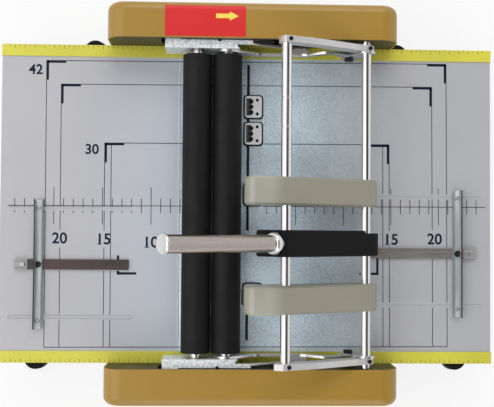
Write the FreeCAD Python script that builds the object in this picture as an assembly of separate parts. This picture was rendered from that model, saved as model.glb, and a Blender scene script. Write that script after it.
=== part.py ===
"""Booklet maker: a table for sheets up to 420 by 297 mm, two stapler heads on a hinged frame, and a handle that
presses the heads down. Pulled to the right, the same handle drags the whole upper unit along, so that a pair of
rubber rollers comes over the fold slot while a blade lifts the sheet into their nip.

Millimetres. X runs to the right along the table, Y to the back, Z up. The origin is on the floor, under the
fold line's middle. Heights called h are measured from the table's top face.
"""

import FreeCAD, Part
import math
import os

from FreeCAD import Vector

# Driving dimensions: table
TABLE_TOP = 60.0
TABLE_LEFT = -253.0
TABLE_RIGHT = 253.0
TABLE_HALF = 163.0
SHEET = 1.5
SHEET_JOINT = -70.0
RULER_WIDTH = 12.0
RULER_THICK = 0.8
SLOT_WIDTH = 2.8
SLOTS = ((-27.0, 145.0), (-140.0, -84.0))

# Base pan and feet
PAN_HALF_LENGTH = 246.0
PAN_HALF = 163.2
PAN_BOTTOM = 12.0
PAN_LIP = 10.0
FEET = ((-165.0, 166.5), (164.0, 166.5), (-225.0, -165.0), (229.0, -165.0))
FOOT_RADIUS = 13.5

# End casings
CASING_LEFT = -142.4
CASING_RIGHT = 149.4
CASING_TOP = 43.0
CASING_BOTTOM = -44.0
CASING_DEPTH = 36.8
CASING_WALL = 1.5
CASING_TOP_RADIUS = 18.0
CASING_BOTTOM_RADIUS = 10.0
CASING_EDGE_RADIUS = 9.0

# Fold rollers and their carriage
TRAVEL = 37.0
ROLLER_AXIS_H = 23.0
ROLLER_PITCH = 30.0
RUBBER_RADIUS = 14.8
RUBBER_HALF = 149.0
SHAFT_RADIUS = 5.0
BRACKET_LEFT = -84.5
BRACKET_RIGHT = -10.0
WEB_Y = 154.5
TONGUE_WIDTH = 16.0
LINK_Y = 152.0
EAR_Y = 150.2
OUTER_LINK_Y = (158.6, 161.0)
LINK_BOLT = (103.0, 11.0)

# Press frame, in its own plane: a runs from the rear rod towards the nose, w stands square to it
PIVOT_X = 117.0
PIVOT_H = 34.0
FRAME_TILT = 25.1
PRESS_ANGLE = 15.0
ROD_SPAN = 91.5
ROD_RADIUS = 5.0
ARM_Y = 152.4
ARM_THICK = 6.0
REAR_ROD_END = 162.6
DETENTS = (99.5, 72.0, 10.5, -92.5)

# Stapler heads, along Y at rest, and their clinch plates
HEAD_CENTRES = {"upper": 10.5, "lower": -92.5}
HEAD_WIDTH = 27.0
HEAD_WALL = 2.0
HEAD_EDGE = 2.0
MAGAZINE_PIN = (12.0, -14.0)
ANVILS = {"back_outer": 100.7, "back_inner": 72.9, "middle": 10.5, "front": -93.0}

# Handle
LEVER_CENTRE = -39.0
LEVER_WIDTH = 25.0
TUBE_ROOT = (28.0, 95.0)
TUBE_TIP = (-79.0, 180.0)
TUBE_RADIUS = 8.0

# Gearing: one module throughout, teeth a little short so that the small pinions aren't undercut
MODULE = 1.25
ADDENDUM = 0.8 * MODULE
DEDENDUM = 1.04 * MODULE
BACKLASH = 0.16
PRESSURE_ANGLE = math.radians(20)
PINION_TEETH = 14
ROLLER_TEETH = 24
RACK_TEETH = 14

# Fold blade
BLADE_THICK = 1.5
BLADE_RISE = 14.0
BLADE_TOP_H = -2.0
BLADE_TABS = ((-138.0, -108.0), (-25.0, -5.0), (24.0, 58.0), (117.0, 143.0))
CAM_PIN_H = -31.0
CAM_PIN_RADIUS = 3.0

# Paper stops
STOP_X = {"left": 212.5, "right": 217.0}
STOP_WIDTH = 8.0
STOP_CENTRES = {"left": -63.0, "right": -49.5}
STOP_LENGTH = 131.0
STOP_GROOVE_GAP = 112.0

# Fits
RUNNING = 0.05
SLIDING = 0.1

# What follows from the driving dimensions
PITCH = math.pi * MODULE
PINION_RADIUS = PINION_TEETH * MODULE / 2
NIP_X = -TRAVEL
ROLLER_LEFT_X = NIP_X - ROLLER_PITCH / 2
ROLLER_RIGHT_X = NIP_X + ROLLER_PITCH / 2

# Depths of the layers inside each casing, measured outwards along Y
PLATE_IN, PLATE_OUT = 163.2, 164.7
GEAR_IN, GEAR_OUT = 165.3, 168.7
PINION_IN, PINION_OUT = 169.2, 172.2
SLIDER_IN, SLIDER_OUT = 174.0, 177.0


def upright(x, h, y):
    """A point of the table's frame."""
    return Vector(x, y, TABLE_TOP + h)


def tilted(a, w, y):
    """A point of the press frame's plane, as the frame stands at rest."""
    tilt = math.radians(FRAME_TILT)
    x = PIVOT_X - a * math.cos(tilt) + w * math.sin(tilt)
    h = PIVOT_H + a * math.sin(tilt) + w * math.cos(tilt)
    return upright(x, h, y)


def pressed(x, h, y):
    """A point given where it is with the frame pressed down, moved to where it is at rest."""
    turn = math.radians(PRESS_ANGLE)
    dx, dh = x - PIVOT_X, h - PIVOT_H
    rest_x = PIVOT_X + dx * math.cos(turn) + dh * math.sin(turn)
    rest_h = PIVOT_H - dx * math.sin(turn) + dh * math.cos(turn)
    return upright(rest_x, rest_h, y)


def outline(corners, place, y):
    """A closed wire through corners (a, b) or (a, b, radius), each radius an arc touching both sides."""
    count = len(corners)
    arcs = []
    for i, corner in enumerate(corners):
        here = Vector(corner[0], corner[1], 0)
        radius = corner[2] if len(corner) > 2 else 0
        if radius == 0:
            arcs.append((here, None, here))
            continue
        back = Vector(*corners[i - 1][:2], 0) - here
        ahead = Vector(*corners[(i + 1) % count][:2], 0) - here
        back.normalize()
        ahead.normalize()
        half = back.getAngle(ahead) / 2
        reach = radius / math.tan(half)
        middle = back + ahead
        middle.normalize()
        centre = here + middle * (radius / math.sin(half))
        arcs.append((here + back * reach, centre - middle * radius, here + ahead * reach))
    edges = []
    for i, (start, mid, end) in enumerate(arcs):
        if mid is not None:
            points = [place(p.x, p.y, y) for p in (start, mid, end)]
            edges.append(Part.Arc(*points).toShape())
        following = arcs[(i + 1) % count][0]
        if (following - end).Length > 1e-6:
            edges.append(Part.LineSegment(place(end.x, end.y, y), place(following.x, following.y, y)).toShape())
    return Part.Wire(edges)


def prism(corners, y0, y1, place=upright):
    """A plate or block with an outline in the XZ plane, from y0 to y1."""
    return Part.Face(outline(corners, place, y0)).extrude(Vector(0, y1 - y0, 0))


def block(x0, x1, y0, y1, h0, h1):
    """A square block between two corners."""
    return Part.makeBox(x1 - x0, y1 - y0, h1 - h0, upright(x0, h0, y0))


def pin(centre, y0, y1, radius):
    """A round pin along Y through a point given with upright or tilted."""
    return Part.makeCylinder(radius, y1 - y0, Vector(centre.x, y0, centre.z), Vector(0, 1, 0))


def ring(centre, y0, y1, outer, inner):
    """A round bush along Y."""
    return pin(centre, y0, y1, outer).cut(pin(centre, y0 - 1, y1 + 1, inner))


def stud(x, y, h0, h1, radius):
    """A round pin that stands up."""
    return Part.makeCylinder(radius, h1 - h0, upright(x, h0, y), Vector(0, 0, 1))


def mirrored(shape):
    """The same shape on the other side of the table."""
    return shape.mirror(Vector(0, 0, 0), Vector(0, 1, 0))


def both(shape):
    """A back shape and its front twin, as separate solids."""
    return [shape, mirrored(shape)]


def save(name, *shapes):
    """Writes one sub-part: a solid, or a group of separate solids."""
    whole = shapes[0] if len(shapes) == 1 else Part.makeCompound(list(shapes))
    whole.exportStep(os.path.join("parts", name + ".step"))


def save_pair(name, back):
    """Writes the back shape and its front twin as two sub-parts."""
    save(name + "_back", back)
    save(name + "_front", mirrored(back))


# Gear teeth


def involute(angle):
    return math.tan(angle) - angle


def tooth_flank(teeth):
    """Radius and half angle at the root, the pitch circle and the tip of one tooth."""
    pitch_radius = teeth * MODULE / 2
    base_radius = pitch_radius * math.cos(PRESSURE_ANGLE)
    half_pitch = (PITCH / 2 - BACKLASH) / 2 / pitch_radius + involute(PRESSURE_ANGLE)
    flank = []
    for radius in (pitch_radius - DEDENDUM, pitch_radius, pitch_radius + ADDENDUM):
        pressure = math.acos(min(1.0, base_radius / radius))
        flank.append((radius, half_pitch - involute(pressure)))
    return flank


def tooth_points(teeth, centre_angles):
    """Outline points of the teeth at these angles, in degrees, around a gear's own middle."""
    flank = tooth_flank(teeth)
    points = []
    for centre in centre_angles:
        middle = math.radians(centre)
        sides = [(r, middle - half) for r, half in flank] + [(r, middle + half) for r, half in reversed(flank)]
        points += [(r * math.cos(angle), r * math.sin(angle)) for r, angle in sides]
    return points


def gear(centre, teeth, first_tooth, y0, y1, bore):
    """A whole spur gear with one tooth centred at first_tooth degrees."""
    angles = [first_tooth + 360 * i / teeth for i in range(teeth)]
    corners = [(centre[0] + x, centre[1] + z) for x, z in tooth_points(teeth, angles)]
    return prism(corners, y0, y1).cut(pin(upright(*centre, 0), y0 - 1, y1 + 1, bore))


def rack_points(first_x, pitch_h, count):
    """Outline points of rack teeth that point up, from first_x on to the right."""
    lean = math.tan(PRESSURE_ANGLE)
    half = (PITCH / 2 - BACKLASH) / 2
    root = half + DEDENDUM * lean
    tip = half - ADDENDUM * lean
    low, high = pitch_h - DEDENDUM, pitch_h + ADDENDUM
    points = []
    for i in range(count):
        x = first_x + i * PITCH
        points += [(x - root, low), (x - tip, high), (x + tip, high), (x + root, low)]
    return points


# Base


def base_pan():
    """Folded tray with an inward lip that the table sheets lie on, and an upright slot for each cam pin."""
    bottom = PAN_BOTTOM - TABLE_TOP
    wall = SHEET
    outer = block(-PAN_HALF_LENGTH, PAN_HALF_LENGTH, -PAN_HALF, PAN_HALF, bottom, -SHEET)
    inner_x = PAN_HALF_LENGTH - wall
    inner_y = PAN_HALF - wall
    inner = block(-inner_x, inner_x, -inner_y, inner_y, bottom + wall, -2 * SHEET)
    mouth_x = inner_x - PAN_LIP
    mouth_y = inner_y - PAN_LIP
    mouth = block(-mouth_x, mouth_x, -mouth_y, mouth_y, bottom + wall, 0)
    return outer.cut(inner).cut(mouth).cut(cam_pin_window())


def cam_pin_window():
    """The upright slots at both sides that the cam pins rise in."""
    half = CAM_PIN_RADIUS + 0.6
    low = CAM_PIN_H - half
    high = CAM_PIN_H + BLADE_RISE + half
    return block(-half, half, -PLATE_OUT - 1, PLATE_OUT + 1, low, high)


def stop_foot_rows(side):
    """Where the stop's two feet run, along Y."""
    middle = STOP_CENTRES[side] + 2.5
    return middle - STOP_GROOVE_GAP / 2, middle + STOP_GROOVE_GAP / 2


def stop_grooves(side, sign):
    """Two shallow pressed grooves that the stop's feet run in."""
    x0, x1 = sorted((sign * 119.0, sign * 243.0))
    return [block(x0, x1, y - 1.3, y + 1.3, -0.6, 1) for y in stop_foot_rows(side)]


def left_table():
    sheet = block(TABLE_LEFT, SHEET_JOINT, -TABLE_HALF, TABLE_HALF, -SHEET, 0)
    return sheet.cut(Part.makeCompound(stop_grooves("left", -1)))


def right_table():
    sheet = block(SHEET_JOINT + 0.3, TABLE_RIGHT, -TABLE_HALF, TABLE_HALF, -SHEET, 0)
    cuts = stop_grooves("right", 1)
    half = SLOT_WIDTH / 2
    for y0, y1 in SLOTS:
        cuts.append(block(-half, half, y0, y1, -SHEET - 1, 1))
    return sheet.cut(Part.makeCompound(cuts))


def ruler():
    inner = TABLE_HALF - RULER_WIDTH
    return block(TABLE_LEFT - 0.5, TABLE_RIGHT + 0.5, inner, TABLE_HALF, 0, RULER_THICK)


def casing_profile(inset):
    """The end casing seen from the front, drawn in by an inset."""
    left, right = CASING_LEFT + inset, CASING_RIGHT - inset
    low, high = CASING_BOTTOM + inset, CASING_TOP - inset
    top = CASING_TOP_RADIUS - inset
    foot = CASING_BOTTOM_RADIUS - inset
    return [(left, low, foot), (left, high, top), (right, high, top), (right, low, foot)]


def casing():
    """Pressed end cover with a rounded outer edge, open towards the table."""
    far = PLATE_IN + CASING_DEPTH
    outer = prism(casing_profile(0), PLATE_IN, far)
    rim = [e for e in outer.Edges if all(abs(v.Y - far) < 1e-6 for v in e.Vertexes)]
    outer = outer.makeFillet(CASING_EDGE_RADIUS, rim)
    inner = prism(casing_profile(CASING_WALL), PLATE_IN - 1, far - CASING_WALL)
    rim = [e for e in inner.Edges if all(abs(v.Y - far + CASING_WALL) < 1e-6 for v in e.Vertexes)]
    return outer.cut(inner.makeChamfer(CASING_EDGE_RADIUS * 0.6, rim))


def side_plate():
    """Plate behind the casing's mouth, with a window for the carriage and an upright slot for the cam pin."""
    plate = prism(casing_profile(CASING_WALL), PLATE_IN, PLATE_OUT)
    left, right = BRACKET_LEFT - 4, ROLLER_RIGHT_X + TRAVEL + 15
    window = [(left, 8, 4), (left, 38, 4), (right, 38, 4), (right, 8, 4)]
    return plate.cut(prism(window, PLATE_IN - 1, PLATE_OUT + 1)).cut(cam_pin_window())


def fixed_rack():
    """Angle-shaped rack on the side plate that the right roller's pinion rolls on."""
    pitch_h = ROLLER_AXIS_H - PINION_RADIUS
    teeth = rack_points(ROLLER_RIGHT_X - 1.5 * PITCH, pitch_h, RACK_TEETH)
    left, right = teeth[0][0] - 2.5, teeth[-1][0] + 2.0
    root = pitch_h - DEDENDUM
    corners = [(left, 0), (left, root)] + teeth + [(right, root), (right, 0)]
    rack = prism(corners, PINION_IN - 0.2, PINION_OUT + 0.2)
    return rack.fuse(block(left, right, PLATE_OUT, PINION_IN, 0, 6.0))


def slide_rail():
    """Grooved rail on the casing's floor that the slider plate's lower edge runs in."""
    floor = CASING_BOTTOM + CASING_WALL
    left, right = BRACKET_LEFT - 6, 12 + TRAVEL + 5
    rail = block(left, right, PLATE_OUT, SLIDER_OUT + 2.0, floor, -34.5)
    return rail.cut(block(left - 1, right + 1, SLIDER_IN - SLIDING, SLIDER_OUT + SLIDING, -40.1, -30))


def rounded_tile(x0, x1, y0, y1, h0, h1, radius):
    """A flat tile with round corners."""
    tile = block(x0, x1, y0, y1, h0, h1)
    upright_edges = [e for e in tile.Edges if abs(e.tangentAt(e.FirstParameter).z) > 0.99]
    return tile.makeFillet(radius, upright_edges)


def anvil(y):
    """Clinch plate on a thin seat: a well with three round lobes bends the staple's legs."""
    seat = rounded_tile(-5.0, 15.6, y - 12.6, y + 12.6, 0, 0.6, 4.0)
    plate = rounded_tile(-3.5, 14.0, y - 11.2, y + 11.2, 0.3, 2.4, 3.0)
    well = [block(-2.2, 3.0, y - 9.0, y + 9.0, 1.6, 4)]
    for step in (-5.6, 0.0, 5.6):
        well.append(stud(2.6, y + step, 0.9, 4, 2.7))
    return seat.fuse(plate).cut(Part.makeCompound(well))


def anvil_screws():
    screws = []
    for y in ANVILS.values():
        for step in (-7.2, 7.2):
            head = stud(9.3, y + step, 2.4, 2.8, 1.6)
            screws.append(head.cut(block(7, 12, y + step - 0.25, y + step + 0.25, 2.6, 3.2)))
    return screws


def foot(x, y):
    """Rubber foot, a little wider at the floor."""
    body = Part.makeCone(FOOT_RADIUS, FOOT_RADIUS - 1.5, PAN_BOTTOM, Vector(x, y, 0), Vector(0, 0, 1))
    return body


def blade_guide():
    """Forked post that keeps one end of the blade carrier upright."""
    floor = PAN_BOTTOM + SHEET - TABLE_TOP
    gap = 4.0 + SLIDING
    left_side = [(-13, floor, 1), (-13, -3, 3), (-gap, -3), (-gap, -42)]
    right_side = [(gap, -42), (gap, -3), (13, -3, 3), (13, floor, 1)]
    return prism(left_side + right_side, 150.0, 157.0)


# Paper stops


def stop_rail(side, sign):
    """Steel rail with overhanging edges that the stop hooks under, and a piece at its outer end."""
    x0, x1 = sorted((sign * 121.5, sign * 237.0))
    y = STOP_CENTRES[side]
    web = block(x0, x1, y - 3.0, y + 3.0, 0, 1.0)
    rail = web.fuse(block(x0, x1, y - 5.2, y + 5.2, 1.0, 2.0))
    if side == "left":
        return rail.fuse(block(-237.0, -223.5, y - 5.2, y + 5.2, 0, 3.4))
    return rail.fuse(stud(227.0, y, 0, 3.6, 5.2))


def stop_bar(side, sign):
    """Angle-section fence that slides along the rail, with a foot in each groove."""
    y = STOP_CENTRES[side]
    half = STOP_LENGTH / 2
    middle = STOP_X[side]
    inner, outer = sign * (middle - STOP_WIDTH / 2), sign * (middle + STOP_WIDTH / 2)
    x0, x1 = sorted((inner, outer))
    flange = block(x0, x1, y - half, y + half, 2.2, 3.5)
    wall_x0, wall_x1 = sorted((inner, inner + sign * 1.2))
    bar = flange.fuse(block(wall_x0, wall_x1, y - half, y + half, 2.2, 11.0))
    for foot_y in stop_foot_rows(side):
        bar = bar.fuse(block(x0, x1, foot_y - 1.0, foot_y + 1.0, -0.4, 2.4))
    saddle = block(x0, x1, y - 6.8, y + 6.8, 0.2, 3.5)
    head = block(x0 - 1, x1 + 1, y - 5.3, y + 5.3, 0.9, 2.1)
    neck = block(x0 - 1, x1 + 1, y - 3.1, y + 3.1, 0, 1.5)
    return bar.fuse(saddle).cut(head).cut(neck).cut(stud(sign * (middle + 0.7), y, 0, 5, 1.5))


def stop_screw(side, sign):
    """Clamp screw: pan head with a cross slot, its tip on the rail."""
    x, y = sign * (STOP_X[side] + 0.7), STOP_CENTRES[side]
    screw = stud(x, y, 2.1, 4.0, 1.5).fuse(stud(x, y, 3.5, 5.6, 3.2))
    slots = block(x - 2.2, x + 2.2, y - 0.4, y + 0.4, 4.8, 6).fuse(block(x - 0.4, x + 0.4, y - 2.2, y + 2.2, 4.8, 6))
    return screw.cut(slots)


# Carriage


def bracket():
    """Folded zinc bracket: web with two bearing seats, top flange, foot flange and a tongue into the casing."""
    web_out = WEB_Y + SHEET
    web = prism(
        [(BRACKET_LEFT, 2, 2), (BRACKET_LEFT, 35.5), (BRACKET_RIGHT, 35.5, 3), (BRACKET_RIGHT, 10, 6), (-24, 2, 6)],
        WEB_Y,
        web_out,
    )
    flange = block(BRACKET_LEFT, BRACKET_RIGHT - 2, WEB_Y, PLATE_IN - 0.4, 34, 35.5)
    tab = block(BRACKET_RIGHT - 3, 3.0, OUTER_LINK_Y[0], PLATE_IN - 0.4, 34, 35.5)
    notches = [stud(x, PLATE_IN - 0.4, 33, 37, 1.8) for x in (-72.0, -30.0)]
    flange = flange.cut(Part.makeCompound(notches))
    tongue = block(BRACKET_LEFT, BRACKET_LEFT + TONGUE_WIDTH, WEB_Y, SLIDER_OUT, 34, 35.5)
    foot_flange = block(BRACKET_LEFT, BRACKET_LEFT + 18, web_out, 160.5, 2, 3.5)
    shape = web.fuse([flange, tab, tongue, foot_flange])
    for x in (ROLLER_LEFT_X, ROLLER_RIGHT_X):
        shape = shape.cut(pin(upright(x, ROLLER_AXIS_H, 0), WEB_Y - 1, web_out + 1, 7.0))
    return shape


def roller_bush(x, inner_y):
    """Flanged bearing bush; the right one also holds the side link against the bracket."""
    centre = upright(x, ROLLER_AXIS_H, 0)
    bore = SHAFT_RADIUS + RUNNING
    seat = ring(centre, inner_y, WEB_Y + SHEET, 7.0, bore)
    return seat.fuse(ring(centre, WEB_Y + SHEET, WEB_Y + 3.0, 8.5, bore))


def side_link():
    """Flat bar on edge from the right roller's bush, low along the table and over an arch to the pivot's foot."""
    corners = [
        (-16, 31.5),
        (10, 13, 14),
        (56, 13, 12),
        (76, 27, 10),
        (91, 27, 10),
        (112, 17, 6),
        (112, 1.0, 2),
        (94, 1.0, 2),
        (94, 16, 4),
        (87, 20.5, 6),
        (79, 20.5, 6),
        (59, 6, 12),
        (8, 6, 14),
        (-26, 14),
    ]
    bar = prism(corners, LINK_Y, WEB_Y)
    eye = pin(upright(ROLLER_RIGHT_X, ROLLER_AXIS_H, 0), LINK_Y, WEB_Y, 10.5)
    foot = block(92, 112, WEB_Y - SHEET, 159.0, 1.0, 2.6)
    shape = bar.fuse([eye, foot])
    shape = shape.cut(pin(upright(ROLLER_RIGHT_X, ROLLER_AXIS_H, 0), LINK_Y - 1, WEB_Y + 1, 7.0))
    return shape.cut(pin(upright(*LINK_BOLT, 0), LINK_Y - 1, WEB_Y + 1, 3.0))


def outer_link():
    """Second bar on edge: from the bracket's tab down to a foot that joins it to the side link."""
    corners = [(-11, 24, 3), (-11, 34), (2, 34, 8), (46, 13, 8), (62, 13, 3), (62, 2), (40, 2, 10), (-4, 24, 6)]
    foot = block(44, 62, WEB_Y, OUTER_LINK_Y[1], 2, 3.6)
    return prism(corners, *OUTER_LINK_Y).fuse(foot)


def pivot_ear():
    """Upright ear that carries the press frame's rear rod, bolted to the side link's foot."""
    foot_x, foot_h = LINK_BOLT
    corners = [(foot_x - 7, 3.5, 3), (foot_x - 7, 15, 8), (PIVOT_X - 9, PIVOT_H + 2, 4), (PIVOT_X - 9, PIVOT_H + 9, 8)]
    corners += [(PIVOT_X + 9, PIVOT_H + 9, 8), (PIVOT_X + 9, PIVOT_H - 3, 8), (foot_x + 7, 8, 8), (foot_x + 7, 3.5, 3)]
    ear = prism(corners, EAR_Y, LINK_Y)
    ear = ear.cut(pin(upright(PIVOT_X, PIVOT_H, 0), EAR_Y - 1, LINK_Y + 1, SHAFT_RADIUS + RUNNING))
    return ear.cut(pin(upright(foot_x, foot_h, 0), EAR_Y - 1, LINK_Y + 1, 3.0))


def hexagon(x, h, y0, y1, across):
    """A six-sided head or nut along Y."""
    radius = across / 2 / math.cos(math.radians(30))
    angles = [math.radians(a) for a in range(0, 360, 60)]
    return prism([(x + radius * math.cos(a), h + radius * math.sin(a)) for a in angles], y0, y1)


def link_bolt():
    """Bolt through ear and link: six-sided head inside, nut outside."""
    x, h = LINK_BOLT
    shank = pin(upright(x, h, 0), EAR_Y - 1, WEB_Y + 3.4, 3.0)
    return shank.fuse([hexagon(x, h, EAR_Y - 2.6, EAR_Y, 8.0), hexagon(x, h, WEB_Y, WEB_Y + 2.6, 8.0)])


def slider_plate():
    """Plate inside the casing: an ear under the bracket's tongue and the sloping cam slot that lifts the blade."""
    left, right, low = BRACKET_LEFT - 2, 12.0, -40.0
    ear = BRACKET_LEFT + TONGUE_WIDTH
    corners = [(left, low, 2), (left, 34), (ear, 34), (ear, -6, 5), (right, -6, 5), (right, low, 2)]
    return prism(corners, SLIDER_IN, SLIDER_OUT).cut(cam_slot())


def cam_slot():
    """Straight slot with round ends that climbs by the blade's rise over the carriage's travel."""
    radius = CAM_PIN_RADIUS + SLIDING
    slope = BLADE_RISE / TRAVEL
    over = 0.5
    ends = [(over, CAM_PIN_H - over * slope), (-TRAVEL - over, CAM_PIN_H + BLADE_RISE + over * slope)]
    run = math.hypot(ends[1][0] - ends[0][0], ends[1][1] - ends[0][1])
    nx, nh = (ends[1][1] - ends[0][1]) / run * radius, -(ends[1][0] - ends[0][0]) / run * radius
    corners = [(ends[0][0] + nx, ends[0][1] + nh), (ends[1][0] + nx, ends[1][1] + nh)]
    corners += [(ends[1][0] - nx, ends[1][1] - nh), (ends[0][0] - nx, ends[0][1] - nh)]
    slot = prism(corners, SLIDER_IN - 1, SLIDER_OUT + 1)
    for x, h in ends:
        slot = slot.fuse(pin(upright(x, h, 0), SLIDER_IN - 1, SLIDER_OUT + 1, radius))
    return slot


def roller_rubber(x):
    return ring(upright(x, ROLLER_AXIS_H, 0), -RUBBER_HALF, RUBBER_HALF, RUBBER_RADIUS, SHAFT_RADIUS)


def roller_shaft(x, front, back):
    """Ground shaft with a shoulder collar at each end of the rubber."""
    centre = upright(x, ROLLER_AXIS_H, 0)
    shaft = pin(centre, -front, back, SHAFT_RADIUS)
    return shaft.fuse([pin(centre, RUBBER_HALF, 151.0, 6.5), pin(centre, -151.0, -RUBBER_HALF, 6.5)])


# Press frame


def arm(point):
    """Cast arm, seen from the side: round ends over both rods, a lightly arched waist and a blunt end."""
    corners = [
        (-8, -7.5, 7),
        (-8, 7.5, 7),
        (14, 6.0, 20),
        (60, 9.0, 60),
        (97, 7.5, 3),
        (point, 1, 2.0),
        (97, -7.5, 3),
        (58, -4.5, 60),
        (14, -7.0, 20),
    ]
    shape = prism(corners, ARM_Y, ARM_Y + ARM_THICK, tilted)
    for a in (0.0, ROD_SPAN):
        shape = shape.cut(pin(tilted(a, 0, 0), ARM_Y - 1, ARM_Y + ARM_THICK + 1, ROD_RADIUS))
        shape = shape.cut(arm_screw_body(a, 2.0, ROD_RADIUS - 1, 12))
    return shape


def arm_screw_body(a, radius, w0, w1):
    """A round body square to the arm's top edge, over one of the rods."""
    start = tilted(a, w0, ARM_Y + ARM_THICK / 2)
    return Part.makeCylinder(radius, w1 - w0, start, tilted(a, w1, 0) - tilted(a, w0, 0))


def arm_screw(a):
    """Socket grub screw that clamps a rod, its socket open at the top."""
    return arm_screw_body(a, 2.0, ROD_RADIUS, 8.6).cut(arm_screw_body(a, 1.1, 7.2, 12))


def front_rod():
    """Chrome rod with a shallow ring for each place where a stapler head clicks in."""
    half = ARM_Y + ARM_THICK
    centre = tilted(ROD_SPAN, 0, 0)
    rod = pin(centre, -half, half, ROD_RADIUS)
    for y in DETENTS:
        rod = rod.cut(ring(centre, y - 0.9, y + 0.9, ROD_RADIUS + 1, ROD_RADIUS - 0.5))
    return rod


# Stapler heads


def head_cover(y):
    """Moulded cover with a sloping nose, hollow underneath, with a boss round each rod and the magazine's pin."""
    half = HEAD_WIDTH / 2
    outer_corners = [(-9, -18, 5), (-9, 10, 6), (104, 10, 30), (131, 4, 6), (130, -10, 8), (126, -20, 4), (121, -25, 2)]
    outer = prism(outer_corners, y - half, y + half, tilted)
    side_edges = [e for e in outer.Edges if abs(e.tangentAt(e.FirstParameter).y) < 0.5]
    cover = outer.makeChamfer(HEAD_EDGE, side_edges)
    inner_half = half - HEAD_WALL
    inner_corners = [(-7, -40), (-7, 8, 4), (103.6, 8, 28), (128.8, 2.6, 5), (127.9, -10, 7), (124.1, -19.2, 4)]
    inner_corners += [(119.2, -24.2), (119.2, -40)]
    cover = cover.cut(prism(inner_corners, y - inner_half, y + inner_half, tilted))
    bosses = [pin(tilted(a, 0, 0), y - half + 0.6, y + half - 0.6, 7.5) for a in (0.0, ROD_SPAN)]
    axle = pin(tilted(*MAGAZINE_PIN, 0), y - half + 0.6, y + half - 0.6, 2.0)
    cover = cover.fuse(bosses + [axle, driver(y)])
    for a in (0.0, ROD_SPAN):
        cover = cover.cut(pin(tilted(a, 0, 0), y - half - 1, y + half + 1, ROD_RADIUS + RUNNING))
    return cover


def driver(y):
    """Blade under the cover's roof that drives the staple."""
    return prism([(113.9, -24), (113.9, 7), (114.7, 7), (114.7, -24)], y - 5.5, y + 5.5, tilted)


def magazine(y):
    """Folded channel that holds the staples, with a tall face plate, given as it lies with the frame pressed."""
    corners = [(-3, 3, 1), (-3, 26, 0.8), (-1, 26, 0.8), (-1, 18), (88, 18, 6), (96, 27, 4), (107, 27, 4)]
    corners += [(110, 12, 4), (107, 8.5, 3), (85, 3, 12)]
    shape = prism(corners, y - 7.5, y + 7.5, pressed)
    channel = prism([(0, 4.2), (0, 40), (88, 40), (88, 4.2)], y - 6.3, y + 6.3, pressed)
    rear = prism([(88, 11), (87, 40), (112, 40), (112, 11)], y - 6.3, y + 6.3, pressed)
    exit_slot = prism([(-1, 0), (-1, 19), (0.1, 19), (0.1, 0)], y - 6.3, y + 6.3, pressed)
    axle_hole = pin(tilted(*MAGAZINE_PIN, 0), y - 9, y + 9, 2.0 + RUNNING)
    return shape.cut(channel).cut(rear).cut(exit_slot).cut(axle_hole)


def pusher(y):
    """Block that pushes the staples to the face plate, with a thumb tab."""
    body = prism([(3, 4.3), (3, 12.5, 1), (15, 12.5, 1), (15, 4.3)], y - 6.2, y + 6.2, pressed)
    return body.fuse(prism([(11, 12), (11, 17, 1.5), (15, 17, 1.5), (15, 12)], y - 4.0, y + 4.0, pressed))


# Handle


def lever_arm():
    """Wedge-shaped arm clamped on both rods, with a socket for the tube and a lip in front."""
    half = LEVER_WIDTH / 2
    y0, y1 = LEVER_CENTRE - half, LEVER_CENTRE + half
    corners = [(-11, -9, 8), (-11, 10, 8), (30, 15, 80), (109, 27.5, 4), (111.5, 8, 4), (121, 1, 4), (120, -9, 5)]
    shape = prism(corners, y0, y1, tilted)
    side_edges = [e for e in shape.Edges if abs(e.tangentAt(e.FirstParameter).y) < 0.5]
    shape = shape.makeChamfer(1.4, side_edges)
    shape = shape.cut(block(PIVOT_X - 5, PIVOT_X + 20, y1 - 2.5, y1 + 1, 0, 60))
    for a in (0.0, ROD_SPAN):
        shape = shape.cut(pin(tilted(a, 0, 0), y0 - 1, y1 + 1, ROD_RADIUS))
    return shape.cut(tube_body(-8.0, 60.0, TUBE_RADIUS))


def tube_body(s0, s1, radius):
    """A round body along the handle's tube, from s0 to s1 measured from the tube's root."""
    root = upright(*TUBE_ROOT, LEVER_CENTRE)
    along = upright(*TUBE_TIP, LEVER_CENTRE) - root
    along.normalize()
    return Part.makeCylinder(radius, s1 - s0, root + along * s0, along)


def tube_length():
    return math.dist(TUBE_ROOT, TUBE_TIP)


def lever_tube():
    wall = 1.5
    end = tube_length() - 3
    return tube_body(-8.0, end, TUBE_RADIUS).cut(tube_body(-9.0, end + 1, TUBE_RADIUS - wall))


def lever_ring():
    """Chrome collar with rolled edges where the tube enters the arm."""
    collar = tube_body(5.5, 13.0, 10.5)
    round_edges = [e for e in collar.Edges if e.Closed]
    return collar.makeChamfer(1.8, round_edges).cut(tube_body(-2.0, 20.0, TUBE_RADIUS))


def lever_cap():
    """Domed chrome end plug with a lip that matches the tube."""
    end = tube_length()
    lip = tube_body(end - 3, end, TUBE_RADIUS + 0.4)
    round_edges = [e for e in lip.Edges if e.Closed]
    plug = tube_body(end - 14, end - 2.5, TUBE_RADIUS - 1.5)
    return lip.makeChamfer(1.0, round_edges).fuse(plug)


# Gears of the carriage


def roller_gear(x, first_tooth):
    return gear((x, ROLLER_AXIS_H), ROLLER_TEETH, first_tooth, GEAR_IN, GEAR_OUT, SHAFT_RADIUS)


def roller_pinion():
    return gear((ROLLER_RIGHT_X, ROLLER_AXIS_H), PINION_TEETH, -90, PINION_IN, PINION_OUT, SHAFT_RADIUS)


# Fold blade


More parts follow.
